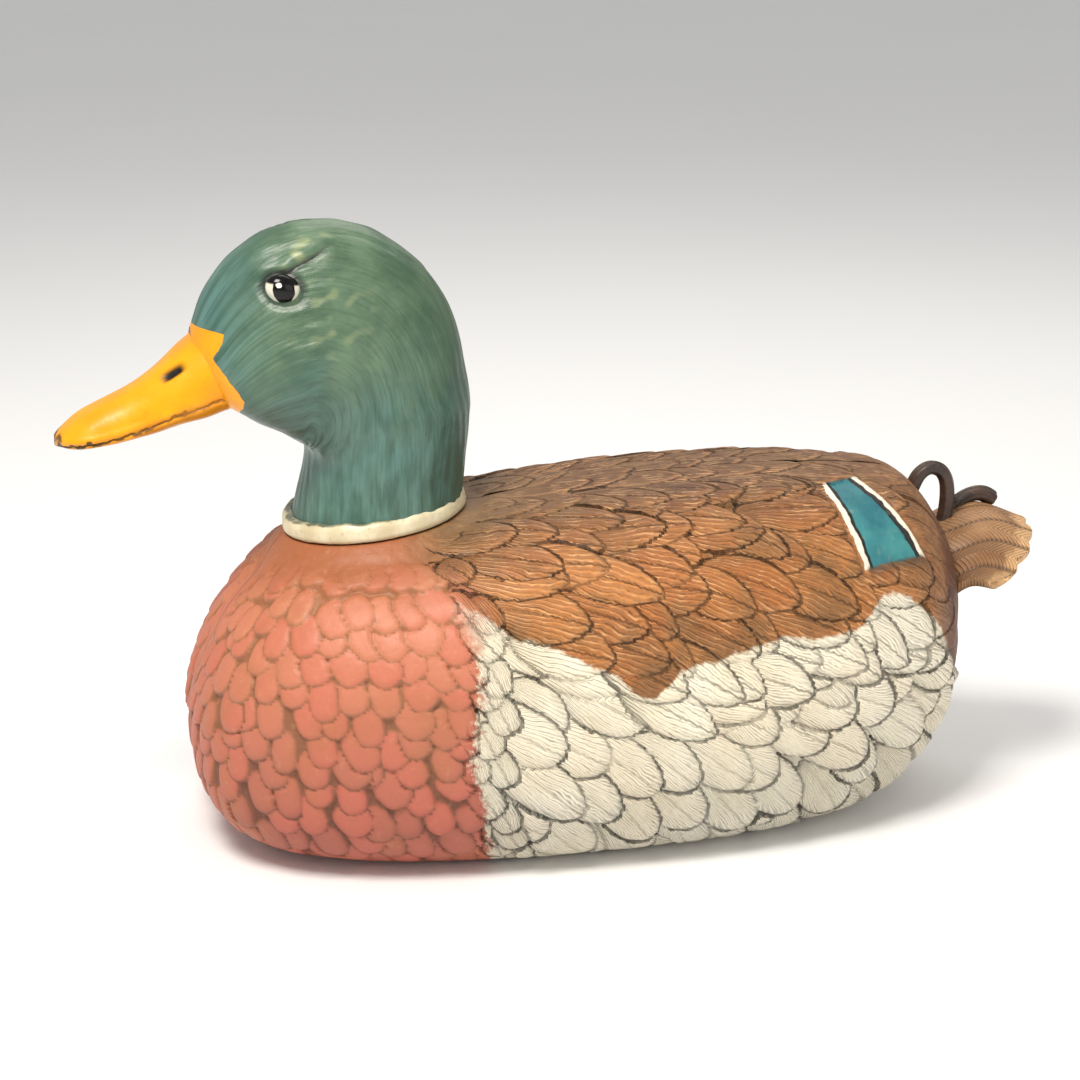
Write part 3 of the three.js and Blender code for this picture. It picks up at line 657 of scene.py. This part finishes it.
def head_grid(rows, columns):
    """Sections up the neck, about the throat and forward to the bill, by marching out from inside."""
    t = np.linspace(0, 1, rows)
    turn = NECK_PITCH + np.clip((t - 0.22) / 0.48, 0, 1) * (np.pi / 2 - NECK_PITCH)
    rise = NECK_BASE + (THROAT_RISE - NECK_BASE) * np.minimum(t / 0.22, 1)
    lean = 0.3 * rise
    forward = np.sin(np.maximum((t - 0.7) / 0.3, 0) * np.pi / 2) * 42
    depth = 34 + 10 * np.sin(turn * 2) + 5 * np.sin(turn)
    low = t < 0.22
    origin_y = np.where(low, NECK_Y - rise * math.sin(NECK_PITCH) + lean * math.cos(NECK_PITCH),
                        THROAT_Y - forward + np.cos(turn) * depth)
    origin_z = np.where(low, NECK_Z + rise * math.cos(NECK_PITCH) + lean * math.sin(NECK_PITCH),
                        THROAT_Z + np.sin(turn) * depth)
    angle = np.linspace(0, 2 * np.pi, columns, endpoint=False)
    origin = np.stack([0 * origin_y, origin_y, origin_z], -1)[:, None, :]
    direction = np.stack([
        np.broadcast_to(np.sin(angle), (rows, columns)),
        np.cos(angle) * np.cos(turn)[:, None],
        np.cos(angle) * np.sin(turn)[:, None],
    ], -1)
    reach = np.zeros((rows, columns))
    moving = np.ones((rows, columns), bool)
    for _ in range(60):
        moving &= to_head(origin + direction * reach[..., None]) < 0
        reach = np.where(moving, reach + 1.5, reach)
    low_r, high_r = np.maximum(reach - 1.5, 0), reach
    for _ in range(12):
        middle = (low_r + high_r) / 2
        outside = to_head(origin + direction * middle[..., None]) > 0
        high_r, low_r = np.where(outside, middle, high_r), np.where(outside, low_r, middle)
    return origin + direction * low_r[..., None]


BILL_YELLOWS = (238, 166, 0), (246, 180, 0)


def yellow_side(p):
    """1 on the yellow paint's side of its slightly wavy rear edge, and 0 behind it."""
    return p.step(p.plus(p.attribute("bill_patch"), p.swing(p.noise(160, 2), 2.0)), -0.25, 0.25)


def head_paint():
    p = Paint("painted_head", roughness=0.4, coat=0.15)
    x, y, z = p.split()
    run, round_ = p.attribute("run"), p.attribute("round")
    coarse, fine = p.noise(45, 4), p.noise(300, 4)
    strokes = p.noise(1.0, 3, p.combine(p.times(run, 0.075), p.times(round_, 0.75)))
    long_strokes = p.noise(1.0, 2, p.combine(p.times(run, 0.05), p.times(round_, 0.17), 3.0))
    green = p.mottle(coarse, (80, 108, 86), (110, 134, 110))
    low = p.fall(p.plus(z, p.swing(coarse, 0.05)), 0.165, 0.222)
    front = p.fall(y, -0.150, -0.112)
    teal = p.math("MAXIMUM", p.times(low, 0.6), p.times(front, 0.75))
    streaked = p.mottle(long_strokes, (70, 108, 102), (112, 150, 148))
    colour = p.mix(teal, green, streaked)
    colour = p.mix(p.step(strokes, 0.36, 0.56, 0.22, 0.0), colour, (38, 70, 56))
    light_strokes = p.times(p.step(strokes, 0.58, 0.74, 0.0, 0.30), p.step(coarse, 0.35, 0.65))
    colour = p.mix(light_strokes, colour, (142, 164, 132))
    nape = p.step(y, -0.075, -0.045)
    colour = p.mix(p.times(nape, 0.4), colour, (48, 78, 54))
    # Painted shade under the jaw, darkest towards the front.
    jaw_shade = p.band(z, 0.158, 0.176, 0.176, 0.200)
    colour = p.mix(p.times(jaw_shade, p.step(y, -0.135, -0.080, 0.55, 0.0)), colour, (40, 58, 50))
    # Painted highlight in pale cream on the ridge above the eye's crease and on the cheek.
    colour = p.mix(p.attribute("painted_highlight"), colour, (190, 196, 150))
    dark = p.attribute("dark")
    colour = p.mix(dark, colour, (22, 28, 26))
    yellow = yellow_side(p)
    colour = p.mix(yellow, colour, p.mottle(coarse, *BILL_YELLOWS))
    p.colour(colour)
    p.gloss(p.plus(p.times(fine, 0.6), p.times(strokes, 0.4)), 0.30, 0.52)
    p.bump(strokes, 0.26)
    p.bump(long_strokes, 0.8)
    p.bump(fine, 0.22)
    return p.material


HEAD_ROWS, HEAD_COLUMNS = 300, 312
head_points = head_grid(HEAD_ROWS, HEAD_COLUMNS)
head_normals = closed_normals(head_points)
if (head_normals[HEAD_ROWS // 2, 0] @ np.array([0, 0.7, 0.7])) < 0:
    head_normals = -head_normals
run = np.cumsum(np.linalg.norm(np.gradient(head_points, axis=0), axis=-1), axis=0)
round_ = np.cumsum(np.linalg.norm(np.gradient(head_points, axis=1), axis=-1), axis=1)
mirrored = head_points.copy()
mirrored[..., 0] = np.abs(mirrored[..., 0])
to_eye = mirrored - EYE
eye_y, eye_z = to_eye[..., 1], to_eye[..., 2]
eye_ring = np.hypot(eye_y / 8.0, (eye_z + 0.06 * eye_y) / 6.3)
beside = smoothstep(mirrored[..., 0], 8, 14)
head_relief = -0.7 * np.exp(-(((eye_ring - 1.0) / 0.22) ** 2)) * beside
brow_line = eye_z - (7.6 + 0.10 * eye_y - 0.010 * (eye_y + 3) ** 2)
brow_reach = smoothstep(eye_y, -16, -6) * smoothstep(34 - eye_y, 0, 16) * beside
head_relief += 0.9 * np.exp(-((brow_line / 2.4) ** 2)) * brow_reach * smoothstep(6 - eye_y, 0, 6)
brushed = np.sin(round_ * 0.9 + 3 * wobble(head_points, 26, 3))
head_relief += 0.16 * brushed * smoothstep(mirrored[..., 1], -140, -100)
head_relief += 0.35 * wobble(head_points, 13, 4)
fade = smoothstep(run, 0, 4)
head_relief *= fade


# The rear edge of the yellow paint: its Y at each height.
PATCH_EDGE = np.array([[176, -142], [182, -134.5], [189, -133], [205.7, -144.5], [211, -141], [215.5, -139.5],
                       [217, -152]])


def in_bill_patch(points):
    """How far ahead of the yellow paint's rear edge a point is, in mm."""
    edge = np.interp(points[..., 2], PATCH_EDGE[:, 0], PATCH_EDGE[:, 1])
    top = -152 + 0.95 * np.minimum(np.abs(points[..., 0]), 13.5)
    return np.where(points[..., 2] > 208, np.minimum(edge, top), edge) - points[..., 1]


bill_patch = in_bill_patch(head_points)
liner = np.exp(-(((eye_ring - 0.98) / 0.17) ** 2)) * (0.45 + 0.55 * smoothstep(eye_z, -3, 2)) * beside
crease = eye_z - (5.2 + 0.50 * eye_y)
crease_reach = smoothstep(eye_y, -3, 4) * smoothstep(24 - eye_y, 0, 12) * beside
fold = 0.9 * np.exp(-(((crease - 3.4) / 2.2) ** 2)) - 0.9 * np.exp(-((crease / 1.3) ** 2))
head_relief += fold * crease_reach * fade
tail_line = np.exp(-((crease / 1.0) ** 2)) * crease_reach
# A painted highlight, in patches, on the ridge above the crease and on the cheek behind and below the eye.
fold_highlight = np.exp(-(((crease - 4.6) / 3.4) ** 2)) * crease_reach
fold_highlight = fold_highlight * smoothstep(wobble(head_points, 4, 12), -0.2, 0.7) * 0.6
cheek_highlight = 0.35 * smoothstep(wobble(head_points, 4.5, 8), 0.1, 0.9)
cheek_highlight = cheek_highlight * np.exp(-(np.hypot(eye_y - 20, eye_z + 10) / 14) ** 2) * beside
painted_highlight = fold_highlight + cheek_highlight
head_fields = {"run": run, "round": round_, "bill_patch": bill_patch, "painted_highlight": np.clip(painted_highlight, 0, 1),
               "dark": np.clip(0.95 * liner + 0.9 * tail_line, 0, 1)}
head_points = head_points + head_normals * head_relief[..., None]
head_piece = make_piece(
    "head_skin", head_points, grid_faces(HEAD_ROWS, HEAD_COLUMNS, True), head_paint(), "head",
    head_fields, [row_loop(HEAD_ROWS - 1, HEAD_COLUMNS)],
)
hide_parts("head_shell")


# ---- the bill ----

BILL_BASE_Y, BILL_TIP_Y = -138.0, -207.5
BILL_ROWS, BILL_COLUMNS = 170, 160


def bill_grid():
    t = np.linspace(0, 1, BILL_ROWS) ** 0.8 * 0.9975
    round_end = np.sqrt(np.clip(1 - np.maximum((t - 0.78) / 0.22, 0) ** 2, 0, 1))
    half = (spline([22, 19.5, 16.6, 15.8, 15.4], t) - 3.0 * (1 - smoothstep(t, 0.0, 0.16))) * round_end
    top = spline([224, 209, 194.5, 185.5, 176.5], t)
    bottom = spline([181.5, 177, 172.5, 169.3, 168], t)
    edge = spline([190, 184.5, 177.5, 172.6, 170.4], t)
    angle = np.linspace(0, 2 * np.pi, BILL_COLUMNS, endpoint=False)[None, :]
    s, c = np.sin(angle), np.cos(angle)
    lift = np.where(c > 0, (top - edge)[:, None] * power(c, 1.05), (edge - bottom)[:, None] * power(c, 0.8))
    x = half[:, None] * power(s, 0.8)
    y = (BILL_BASE_Y + (BILL_TIP_Y - BILL_BASE_Y) * t)[:, None] + 0 * x
    return np.stack([x, y, edge[:, None] + lift * (0.35 + 0.65 * round_end)[:, None]], -1), t, edge


def bill_paint():
    p = Paint("painted_bill", roughness=0.35, coat=0.15, specular=0.35)
    x, y, z = p.split()
    coarse, fine = p.noise(60, 4), p.noise(330, 3)
    yellow = p.mottle(coarse, *BILL_YELLOWS)
    # Painted shade: the bill is painted darker below its mandible line, on its underside.
    underside_shade = p.fall(p.plus(p.attribute("from_edge"), p.swing(coarse, 6.0)), -5.0, 1.0)
    colour = p.mix(p.times(underside_shade, 0.55), yellow, (150, 96, 16))
    rough_edge = p.plus(p.attribute("from_edge"), p.swing(p.noise(170, 4), 7.0))
    line = p.band(rough_edge, -1.9, -0.9, -0.2, 0.6)
    colour = p.mix(p.times(line, p.step(y, -0.205, -0.140, 0.95, 0.5)), colour, (38, 30, 22))
    tip = p.fall(p.plus(y, p.swing(p.noise(120, 3), 0.012)), -0.2055, -0.2040)
    colour = p.mix(p.times(tip, 0.85), colour, (52, 36, 22))
    colour = p.mix(p.attribute("nostril"), colour, (26, 20, 14))
    colour = p.mix(p.step(fine, 0.64, 0.74, 0.0, 0.22), colour, (170, 120, 30))
    painted = yellow_side(p)
    colour = p.mix(painted, p.mottle(coarse, (68, 108, 104), (92, 134, 130)), colour)
    p.colour(colour)
    p.gloss(coarse, 0.30, 0.46)
    p.bump(coarse, 0.7)
    p.bump(fine, 0.10)
    return p.material


bill_points, bill_t, bill_edge = bill_grid()
bill_normals = closed_normals(bill_points)
if bill_normals[BILL_ROWS // 2, 0, 2] < 0:
    bill_normals = -bill_normals
from_edge = bill_points[..., 2] - bill_edge[:, None]
flat_x = np.abs(bill_points[..., 0])
nostril_y, nostril_z = bill_points[..., 1] + 160, bill_points[..., 2] - 199.3
nostril_along, nostril_off = nostril_y * 0.83 + nostril_z * 0.55, nostril_z * 0.83 - nostril_y * 0.55
nostril = np.exp(-((nostril_along / 5.0) ** 4)) * np.exp(-((nostril_off / 1.5) ** 4))
nostril = nostril * smoothstep(flat_x, 4, 7)
bill_relief = -0.9 * np.exp(-(((from_edge + 0.4) / 0.8) ** 2)) - 1.3 * nostril
bill_relief += 0.5 * np.exp(-(((from_edge - 1.9) / 1.3) ** 2)) * smoothstep(bill_t, 0.15, 0.4)[:, None]
bill_relief += 0.30 * wobble(bill_points, 16, 21)
bill_relief *= smoothstep(1.0 - bill_t, 0, 0.06)[:, None]
bill_points = bill_points + bill_normals * bill_relief[..., None]
bill_piece = make_piece(
    "bill_skin", bill_points, grid_faces(BILL_ROWS, BILL_COLUMNS, True), bill_paint(), "head",
    {
        "from_edge": from_edge,
        "nostril": np.clip(nostril * 1.2, 0, 1),
        "bill_patch": in_bill_patch(bill_points),
    },
    [row_loop(BILL_ROWS - 1, BILL_COLUMNS), row_loop(0, BILL_COLUMNS)[::-1]],
)
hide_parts("bill")


# ---- the eyes ----


def eye_paint(side):
    """Glossy black with a white crescent on either side and a painted glint."""
    p = Paint(f"painted_{side}_eye", roughness=0.16, specular=0.35)
    y, z = p.attribute("eye_y"), p.attribute("eye_z")
    rough = p.swing(p.noise(420, 2), 0.18)
    pupil = p.plus(p.times(p.times(y, 1.5), p.times(y, 1.5)), p.times(z, z))
    pupil = p.math("SQRT", pupil)
    white = p.step(p.plus(pupil, rough), 0.92, 0.98)
    colour = p.mix(p.times(white, p.fall(z, 0.28, 0.45)), (9, 8, 9), (226, 222, 208))
    glint_y, glint_z = p.plus(y, 0.28), p.minus(z, 0.34)
    glint = p.math("SQRT", p.plus(p.times(glint_y, glint_y), p.times(glint_z, glint_z)))
    colour = p.mix(p.fall(p.plus(glint, rough), 0.15, 0.2), colour, (248, 246, 240))
    p.colour(colour)
    p.bump(p.noise(300, 2), 0.04)
    return p.material


EYE_RINGS, EYE_AROUND = 40, 72
for side, sign in SIDES.items():
    out = np.linspace(0.02, 2.2, EYE_RINGS)[:, None]
    round_eye = np.linspace(0, 2 * np.pi, EYE_AROUND, endpoint=False)[None, :]
    ey, ez = np.sin(out) * np.cos(round_eye), np.sin(out) * np.sin(round_eye)
    ex = np.cos(out) + 0 * round_eye
    ball_x = sign * (EYE[0] - 1.4 + 7.4 * 0.62 * ex)
    ball = np.stack([ball_x, EYE[1] + 6.9 * ey, EYE[2] + 0.25 - 0.8 * ey + 5.8 * ez], -1)
    caps = [row_loop(0, EYE_AROUND), row_loop(EYE_RINGS - 1, EYE_AROUND)[::-1]]
    caps = caps if sign > 0 else [c[::-1] for c in caps]
    eye = make_piece(
        f"{side}_eye_skin", ball, grid_faces(EYE_RINGS, EYE_AROUND, True, flip=sign > 0), eye_paint(side),
        "head", {"eye_y": ey, "eye_z": ez}, caps,
    )
    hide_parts(f"{side}_eye")


# ---- the white collar ----


def from_neck(x, out, rise):
    c, s = math.cos(NECK_PITCH), math.sin(NECK_PITCH)
    return np.stack([x, NECK_Y + out * c - rise * s, NECK_Z + out * s + rise * c], -1)


def collar_paint():
    p = Paint("painted_collar", roughness=0.45, coat=0.15)
    coarse, fine = p.noise(80, 4), p.noise(420, 3)
    colour = p.mottle(coarse, (232, 224, 198), (212, 200, 168))
    edge = p.plus(p.attribute("band"), p.swing(p.noise(190, 3), 0.30))
    colour = p.mix(p.step(edge, 0.00, 0.10, 0.75, 0.0), colour, (122, 84, 60))
    colour = p.mix(p.step(edge, 0.93, 1.02, 0.0, 0.8), colour, (60, 88, 74))
    colour = p.mix(p.step(fine, 0.62, 0.74, 0.0, 0.45), colour, (176, 150, 112))
    p.colour(colour)
    p.gloss(fine, 0.36, 0.55)
    p.bump(coarse, 0.7)
    p.bump(fine, 0.18)
    return p.material


COLLAR_LOW, COLLAR_HIGH, COLLAR_OUTER = 0.5, 7.4, 38.3  # heights above the seat, and the radius
COLLAR_AROUND, COLLAR_PROFILE = 320, 34
around_collar = np.linspace(0, 2 * np.pi, COLLAR_AROUND, endpoint=False)[:, None]
profile = np.linspace(-0.08, 1.08, COLLAR_PROFILE)[None, :]
ring = np.stack([np.cos(around_collar), np.sin(around_collar), 0 * around_collar], -1)
uneven = wobble(ring * 38, 12, 32) * 0.75
height = np.clip(profile, 0, 1)
collar_rise = COLLAR_LOW - 0.2 + (COLLAR_HIGH + 0.4 + uneven - COLLAR_LOW) * height
bulge = (1 - np.abs(2 * height - 1) ** 3.4) * 1.5
# Past either edge the profile turns in towards the axis.
bulge = bulge + np.where(profile < 0, 30 * profile, 0) + np.where(profile > 1, -30 * (profile - 1), 0)
collar_r = COLLAR_OUTER - 1.0 + bulge + 0.25 * wobble(ring * 38, 9, 33) - 1.1 * height
collar_points = from_neck(collar_r * np.sin(around_collar), collar_r * np.cos(around_collar), collar_rise)
collar_piece = make_piece(
    "collar_skin", collar_points, grid_faces(COLLAR_AROUND, COLLAR_PROFILE, False), collar_paint(), "head",
    {"band": height + 0 * around_collar},
)
# The ring closes on itself along its first axis.
collar_mesh = collar_piece.data
work = bmesh.new()
work.from_mesh(collar_mesh)
work.verts.ensure_lookup_table()
last = (COLLAR_AROUND - 1) * COLLAR_PROFILE
for j in range(COLLAR_PROFILE - 1):
    work.faces.new([work.verts[k] for k in (last + j, j, j + 1, last + j + 1)])
bmesh.ops.recalc_face_normals(work, faces=work.faces)
work.to_mesh(collar_mesh)
work.free()
collar_mesh.shade_smooth()
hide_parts("neck_collar")


# ---- the tail fan and its two curls ----

TAIL_ROOT, TAIL_TIP, TAIL_HALF, TAIL_THICK, TAIL_LOBES = 146.0, 207.5, 35.0, 4.6, 7
TAIL_Z = [108, 116, 121, 114]
TAIL_ROWS, TAIL_COLUMNS = 120, 280


def tail_point(along, across, side):
    scallop = 3.2 * np.abs(np.cos(across * np.pi * TAIL_LOBES / 2)) ** 0.9
    reach = (TAIL_TIP - TAIL_ROOT) * (1 - 0.37 * across**2) - 3.2 + scallop
    fanned = 0.62 + 0.38 * np.sin(along * np.pi * 0.62)
    droop = np.abs(across) ** 1.8 * (31 - 13 * along)
    x = TAIL_HALF * fanned * np.sin(1.4 * across) / math.sin(1.4)
    y = TAIL_ROOT + reach * along
    z = spline(TAIL_Z, along) - droop - side * TAIL_THICK * (1.25 - 0.6 * along)
    feather = 1 - np.abs(((across * TAIL_LOBES / 2 + 0.5) % 1) * 2 - 1)
    z = z + np.where(side < 0.5, 1, -1) * (0.9 * (1 - feather**2) - 0.9) * np.clip(along * 2.2, 0, 1)
    return np.stack([x, y, z], -1), feather


def tail_paint():
    p = Paint("painted_tail", roughness=0.5, coat=0.12)
    along, feather = p.attribute("along"), p.attribute("feather")
    coarse, fine = p.noise(55, 4), p.noise(300, 4)
    colour = p.mottle(coarse, (150, 112, 80), (186, 146, 106))
    colour = p.mix(p.step(along, 0.15, 0.65, 0.6, 0.0), colour, (112, 80, 56))
    rim = p.step(p.plus(along, p.swing(fine, 0.16)), 0.84, 0.95)
    colour = p.mix(p.times(rim, 0.85), colour, (236, 196, 150))
    colour = p.mix(p.step(feather, 0.72, 0.98, 0.0, 0.75), colour, (98, 72, 52))
    barb_turns = p.minus(p.times(along, 26.0), p.times(feather, 2.2))
    barb = p.math("SINE", p.times(barb_turns, 2 * math.pi))
    colour = p.mix(p.step(barb, 0.2, 1.0, 0.0, 0.22), colour, (212, 172, 128))
    p.colour(colour)
    p.gloss(fine, 0.42, 0.62)
    p.bump(barb, 0.25)
    p.bump(fine, 0.35)
    return p.material


tail_along = np.linspace(0, 1, TAIL_ROWS)[:, None]
upper_across = np.linspace(-1, 1, TAIL_COLUMNS // 2)
tail_across = np.concatenate([upper_across, upper_across[::-1]])[None, :]
tail_side = np.concatenate([np.zeros(TAIL_COLUMNS // 2), np.ones(TAIL_COLUMNS // 2)])[None, :]
tail_points, tail_feather = tail_point(tail_along, tail_across + 0 * tail_along, tail_side + 0 * tail_along)
end = row_loop(TAIL_ROWS - 1, TAIL_COLUMNS)
end_quads = [[end[-1 - j], end[-2 - j], end[j + 1], end[j]] for j in range(TAIL_COLUMNS // 2 - 1)]
tail_piece = make_piece(
    "tail_skin", tail_points, grid_faces(TAIL_ROWS, TAIL_COLUMNS, True, flip=True), tail_paint(), "hull",
    {"along": tail_along + 0 * tail_across, "feather": tail_feather}, end_quads,
)
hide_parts("tail_fan")


def curl_paint(name):
    p = Paint(name, roughness=0.42, coat=0.2)
    coarse, fine = p.noise(90, 4), p.noise(420, 3)
    colour = p.mottle(coarse, (50, 38, 32), (86, 66, 54))
    colour = p.mix(p.step(fine, 0.60, 0.75, 0.0, 0.5), colour, (140, 108, 84))
    p.colour(colour)
    p.gloss(fine, 0.34, 0.55)
    p.bump(coarse, 0.6)
    p.bump(fine, 0.2)
    return p.material


def curl_points(knots, radius, flatten, rows, columns):
    """A fluted rod through the knots, rounded off at both ends."""
    knots = np.array(knots, float)
    t = np.linspace(0, 1, rows)
    centre = np.stack([spline(knots[:, k], t) for k in range(3)], -1)
    tangent = unit(np.gradient(centre, axis=0))
    side = np.broadcast_to(np.array([1.0, 0, 0]), tangent.shape)
    side = unit(side - tangent * (side * tangent).sum(-1, keepdims=True))
    lift = np.cross(tangent, side)
    angle = np.linspace(0, 2 * np.pi, columns, endpoint=False)
    size = radius * (0.98 + 0.05 * np.sin(t * 9))[:, None] * (1 - 0.06 * np.cos(6 * angle))[None, :]
    end = np.clip((1 - t) / 0.06, 0, 1)[:, None] ** 0.5
    start = np.clip(t / 0.04, 0, 1)[:, None] ** 0.5
    size = size * np.maximum(end, 0.08) * np.maximum(start, 0.08)
    sideways, upwards = size * np.cos(angle), size * flatten * np.sin(angle)
    return centre[:, None] + side[:, None] * sideways[..., None] + lift[:, None] * upwards[..., None]


# Knots as Y and Z, then X as a start and a step from knot to knot, and the rod's radius.
CURLS = {
    "upper_tail_curl": ([(151, 120), (155, 131), (158, 136.5), (162.5, 139), (167.5, 137), (170, 130.5),
                         (169.5, 119), (166, 107)], 0, 0.4, 3.3),
    "lower_tail_curl": ([(171, 110), (176, 118.5), (183, 123), (190, 123.3), (196.5, 119.5)], -5, -1, 3.6),
}
CURL_FLATTEN, CURL_ROWS, CURL_COLUMNS = 0.95, 90, 40
for node, (curve, first_x, x_step, radius) in CURLS.items():
    knots = [(first_x + x_step * i, y, z) for i, (y, z) in enumerate(curve)]
    shape = curl_points(knots, radius, CURL_FLATTEN, CURL_ROWS, CURL_COLUMNS)
    ends = [row_loop(0, CURL_COLUMNS)[::-1], row_loop(CURL_ROWS - 1, CURL_COLUMNS)]
    curl = make_piece(
        f"{node}_skin", shape, grid_faces(CURL_ROWS, CURL_COLUMNS, True, flip=True),
        curl_paint(f"painted_{node}"), "hull", None, ends,
    )
    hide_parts(node)


# ---- the CAD pieces that show as they are: the board, its fixings, the plug and the neck's parts ----


def plain_finish(name, first, second, roughness, scale, bump, metallic=0.0, streak=None):
    """Two mottled tones with a fine surface. streak stretches the grain along Y."""
    p = Paint(name, roughness=sum(roughness) / 2, metallic=metallic)
    place = None
    if streak:
        x, y, z = p.split()
        place = p.combine(x, p.times(y, streak), z)
    coarse, fine = p.noise(scale, 4, place), p.noise(scale * 6, 3, place)
    colour = p.mottle(coarse, first, second)
    colour = p.mix(p.step(fine, 0.62, 0.78, 0.0, 0.3), colour, tuple(c * 0.6 for c in first))
    p.colour(colour)
    p.gloss(fine, *roughness)
    p.bump(fine, bump)
    return p.material


# Each finish: two tones, the range of roughness, the noise's scale, the bump in mm, and what else it needs.
FINISHES = {
    "board": [(104, 82, 62), (124, 100, 76), (0.5, 0.7), 60, 0.3, dict(streak=0.12)],
    "rubber": [(26, 26, 27), (38, 38, 38), (0.6, 0.8), 150, 0.12, {}],
    "nylon": [(58, 60, 58), (70, 72, 70), (0.35, 0.5), 180, 0.08, {}],
    "ballast": [(92, 90, 86), (118, 114, 108), (0.5, 0.75), 110, 0.35, dict(metallic=0.9)],
    "screw_brass": [(186, 148, 82), (206, 170, 104), (0.25, 0.45), 300, 0.05, dict(metallic=1.0)],
    "pin_steel": [(158, 160, 162), (182, 184, 186), (0.22, 0.4), 260, 0.05, dict(metallic=1.0)],
}
SCREWS = [f"board_screw_{side}_{i}" for side in SIDES for i in range(1, 5)]
SCREWS += ["ballast_screw_1", "ballast_screw_2"]
FINISHED = {
    "board": ["bottom_board"],
    "rubber": ["board_gasket", "drain_plug", "plug_seal", "friction_washer"],
    "nylon": ["neck_bush", "neck_plug", "stem_nut", "tie_cup"],
    "ballast": ["ballast_weight"],
    "screw_brass": SCREWS,
    "pin_steel": ["tie_pin"],
}
for slot_name, names in FINISHED.items():
    *plain, more = FINISHES[slot_name]
    finish = plain_finish(slot_name, *plain, **more)
    for name in names:
        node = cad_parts[name]
        node.data.materials.clear()
        node.data.materials.append(finish)


# ---- floor, light and camera ----

floor_paint = Paint("pale_floor", roughness=0.7, specular=0.2)
floor_paint.colour(floor_paint.mix(floor_paint.noise(3, 2), (249, 250, 252), (252, 253, 255)))
floor_mesh = bpy.data.meshes.new("floor")
FLOOR = 4.0  # metres from the middle to each side
corners = [(-FLOOR, -FLOOR, 0), (FLOOR, -FLOOR, 0), (FLOOR, FLOOR, 0), (-FLOOR, FLOOR, 0)]
floor_mesh.from_pydata(corners, [], [(0, 1, 2, 3)])
floor_mesh.materials.append(floor_paint.material)
floor = bpy.data.objects.new("floor", floor_mesh)
bpy.context.scene.collection.objects.link(floor)

world = bpy.data.worlds.new("studio")
world.use_nodes = True
world.node_tree.nodes["Background"].inputs["Color"].default_value = (1.0, 0.985, 0.96, 1.0)
world.node_tree.nodes["Background"].inputs["Strength"].default_value = 0.5
bpy.context.scene.world = world

# Where the camera looks, in metres, and the directions back to it, to its right and up.
AIM = mathutils.Vector((0.0, 0.0045, 0.133))
BACK = mathutils.Vector((0.9403, -0.1999, 0.2756))
RIGHT = mathutils.Vector((0.2079, 0.9781, 0.0))
UP = mathutils.Vector((-0.2696, 0.0573, 0.9613))


def add_light(name, place, size, watts):
    lamp = bpy.data.lights.new(name, "AREA")
    lamp.shape = "SQUARE"
    lamp.size = size
    lamp.energy = watts
    lamp.color = (1.0, 0.95, 0.87)
    light = bpy.data.objects.new(name, lamp)
    light.location = place
    light.rotation_euler = (AIM - light.location).to_track_quat("-Z", "Y").to_euler()
    bpy.context.scene.collection.objects.link(light)


add_light("key", mathutils.Vector((0.55, -0.45, 1.25)), 0.45, 17.0)
add_light("fill", mathutils.Vector((1.1, 0.6, 0.5)), 0.8, 2.0)
add_light("rim", mathutils.Vector((-0.7, 0.3, 1.1)), 0.8, 4.0)

CAMERA_DISTANCE = 1.1
camera_data = bpy.data.cameras.new("camera")
camera_data.lens = 87.2
camera_data.sensor_width = 36
camera_data.shift_x, camera_data.shift_y = -0.0293, -0.0361
camera = bpy.data.objects.new("camera", camera_data)
turned = mathutils.Matrix((RIGHT, UP, BACK)).transposed().to_4x4()
camera.matrix_world = mathutils.Matrix.Translation(AIM + CAMERA_DISTANCE * BACK) @ turned
bpy.context.scene.collection.objects.link(camera)
bpy.context.scene.camera = camera
bpy.context.scene.view_settings.view_transform = "Standard"
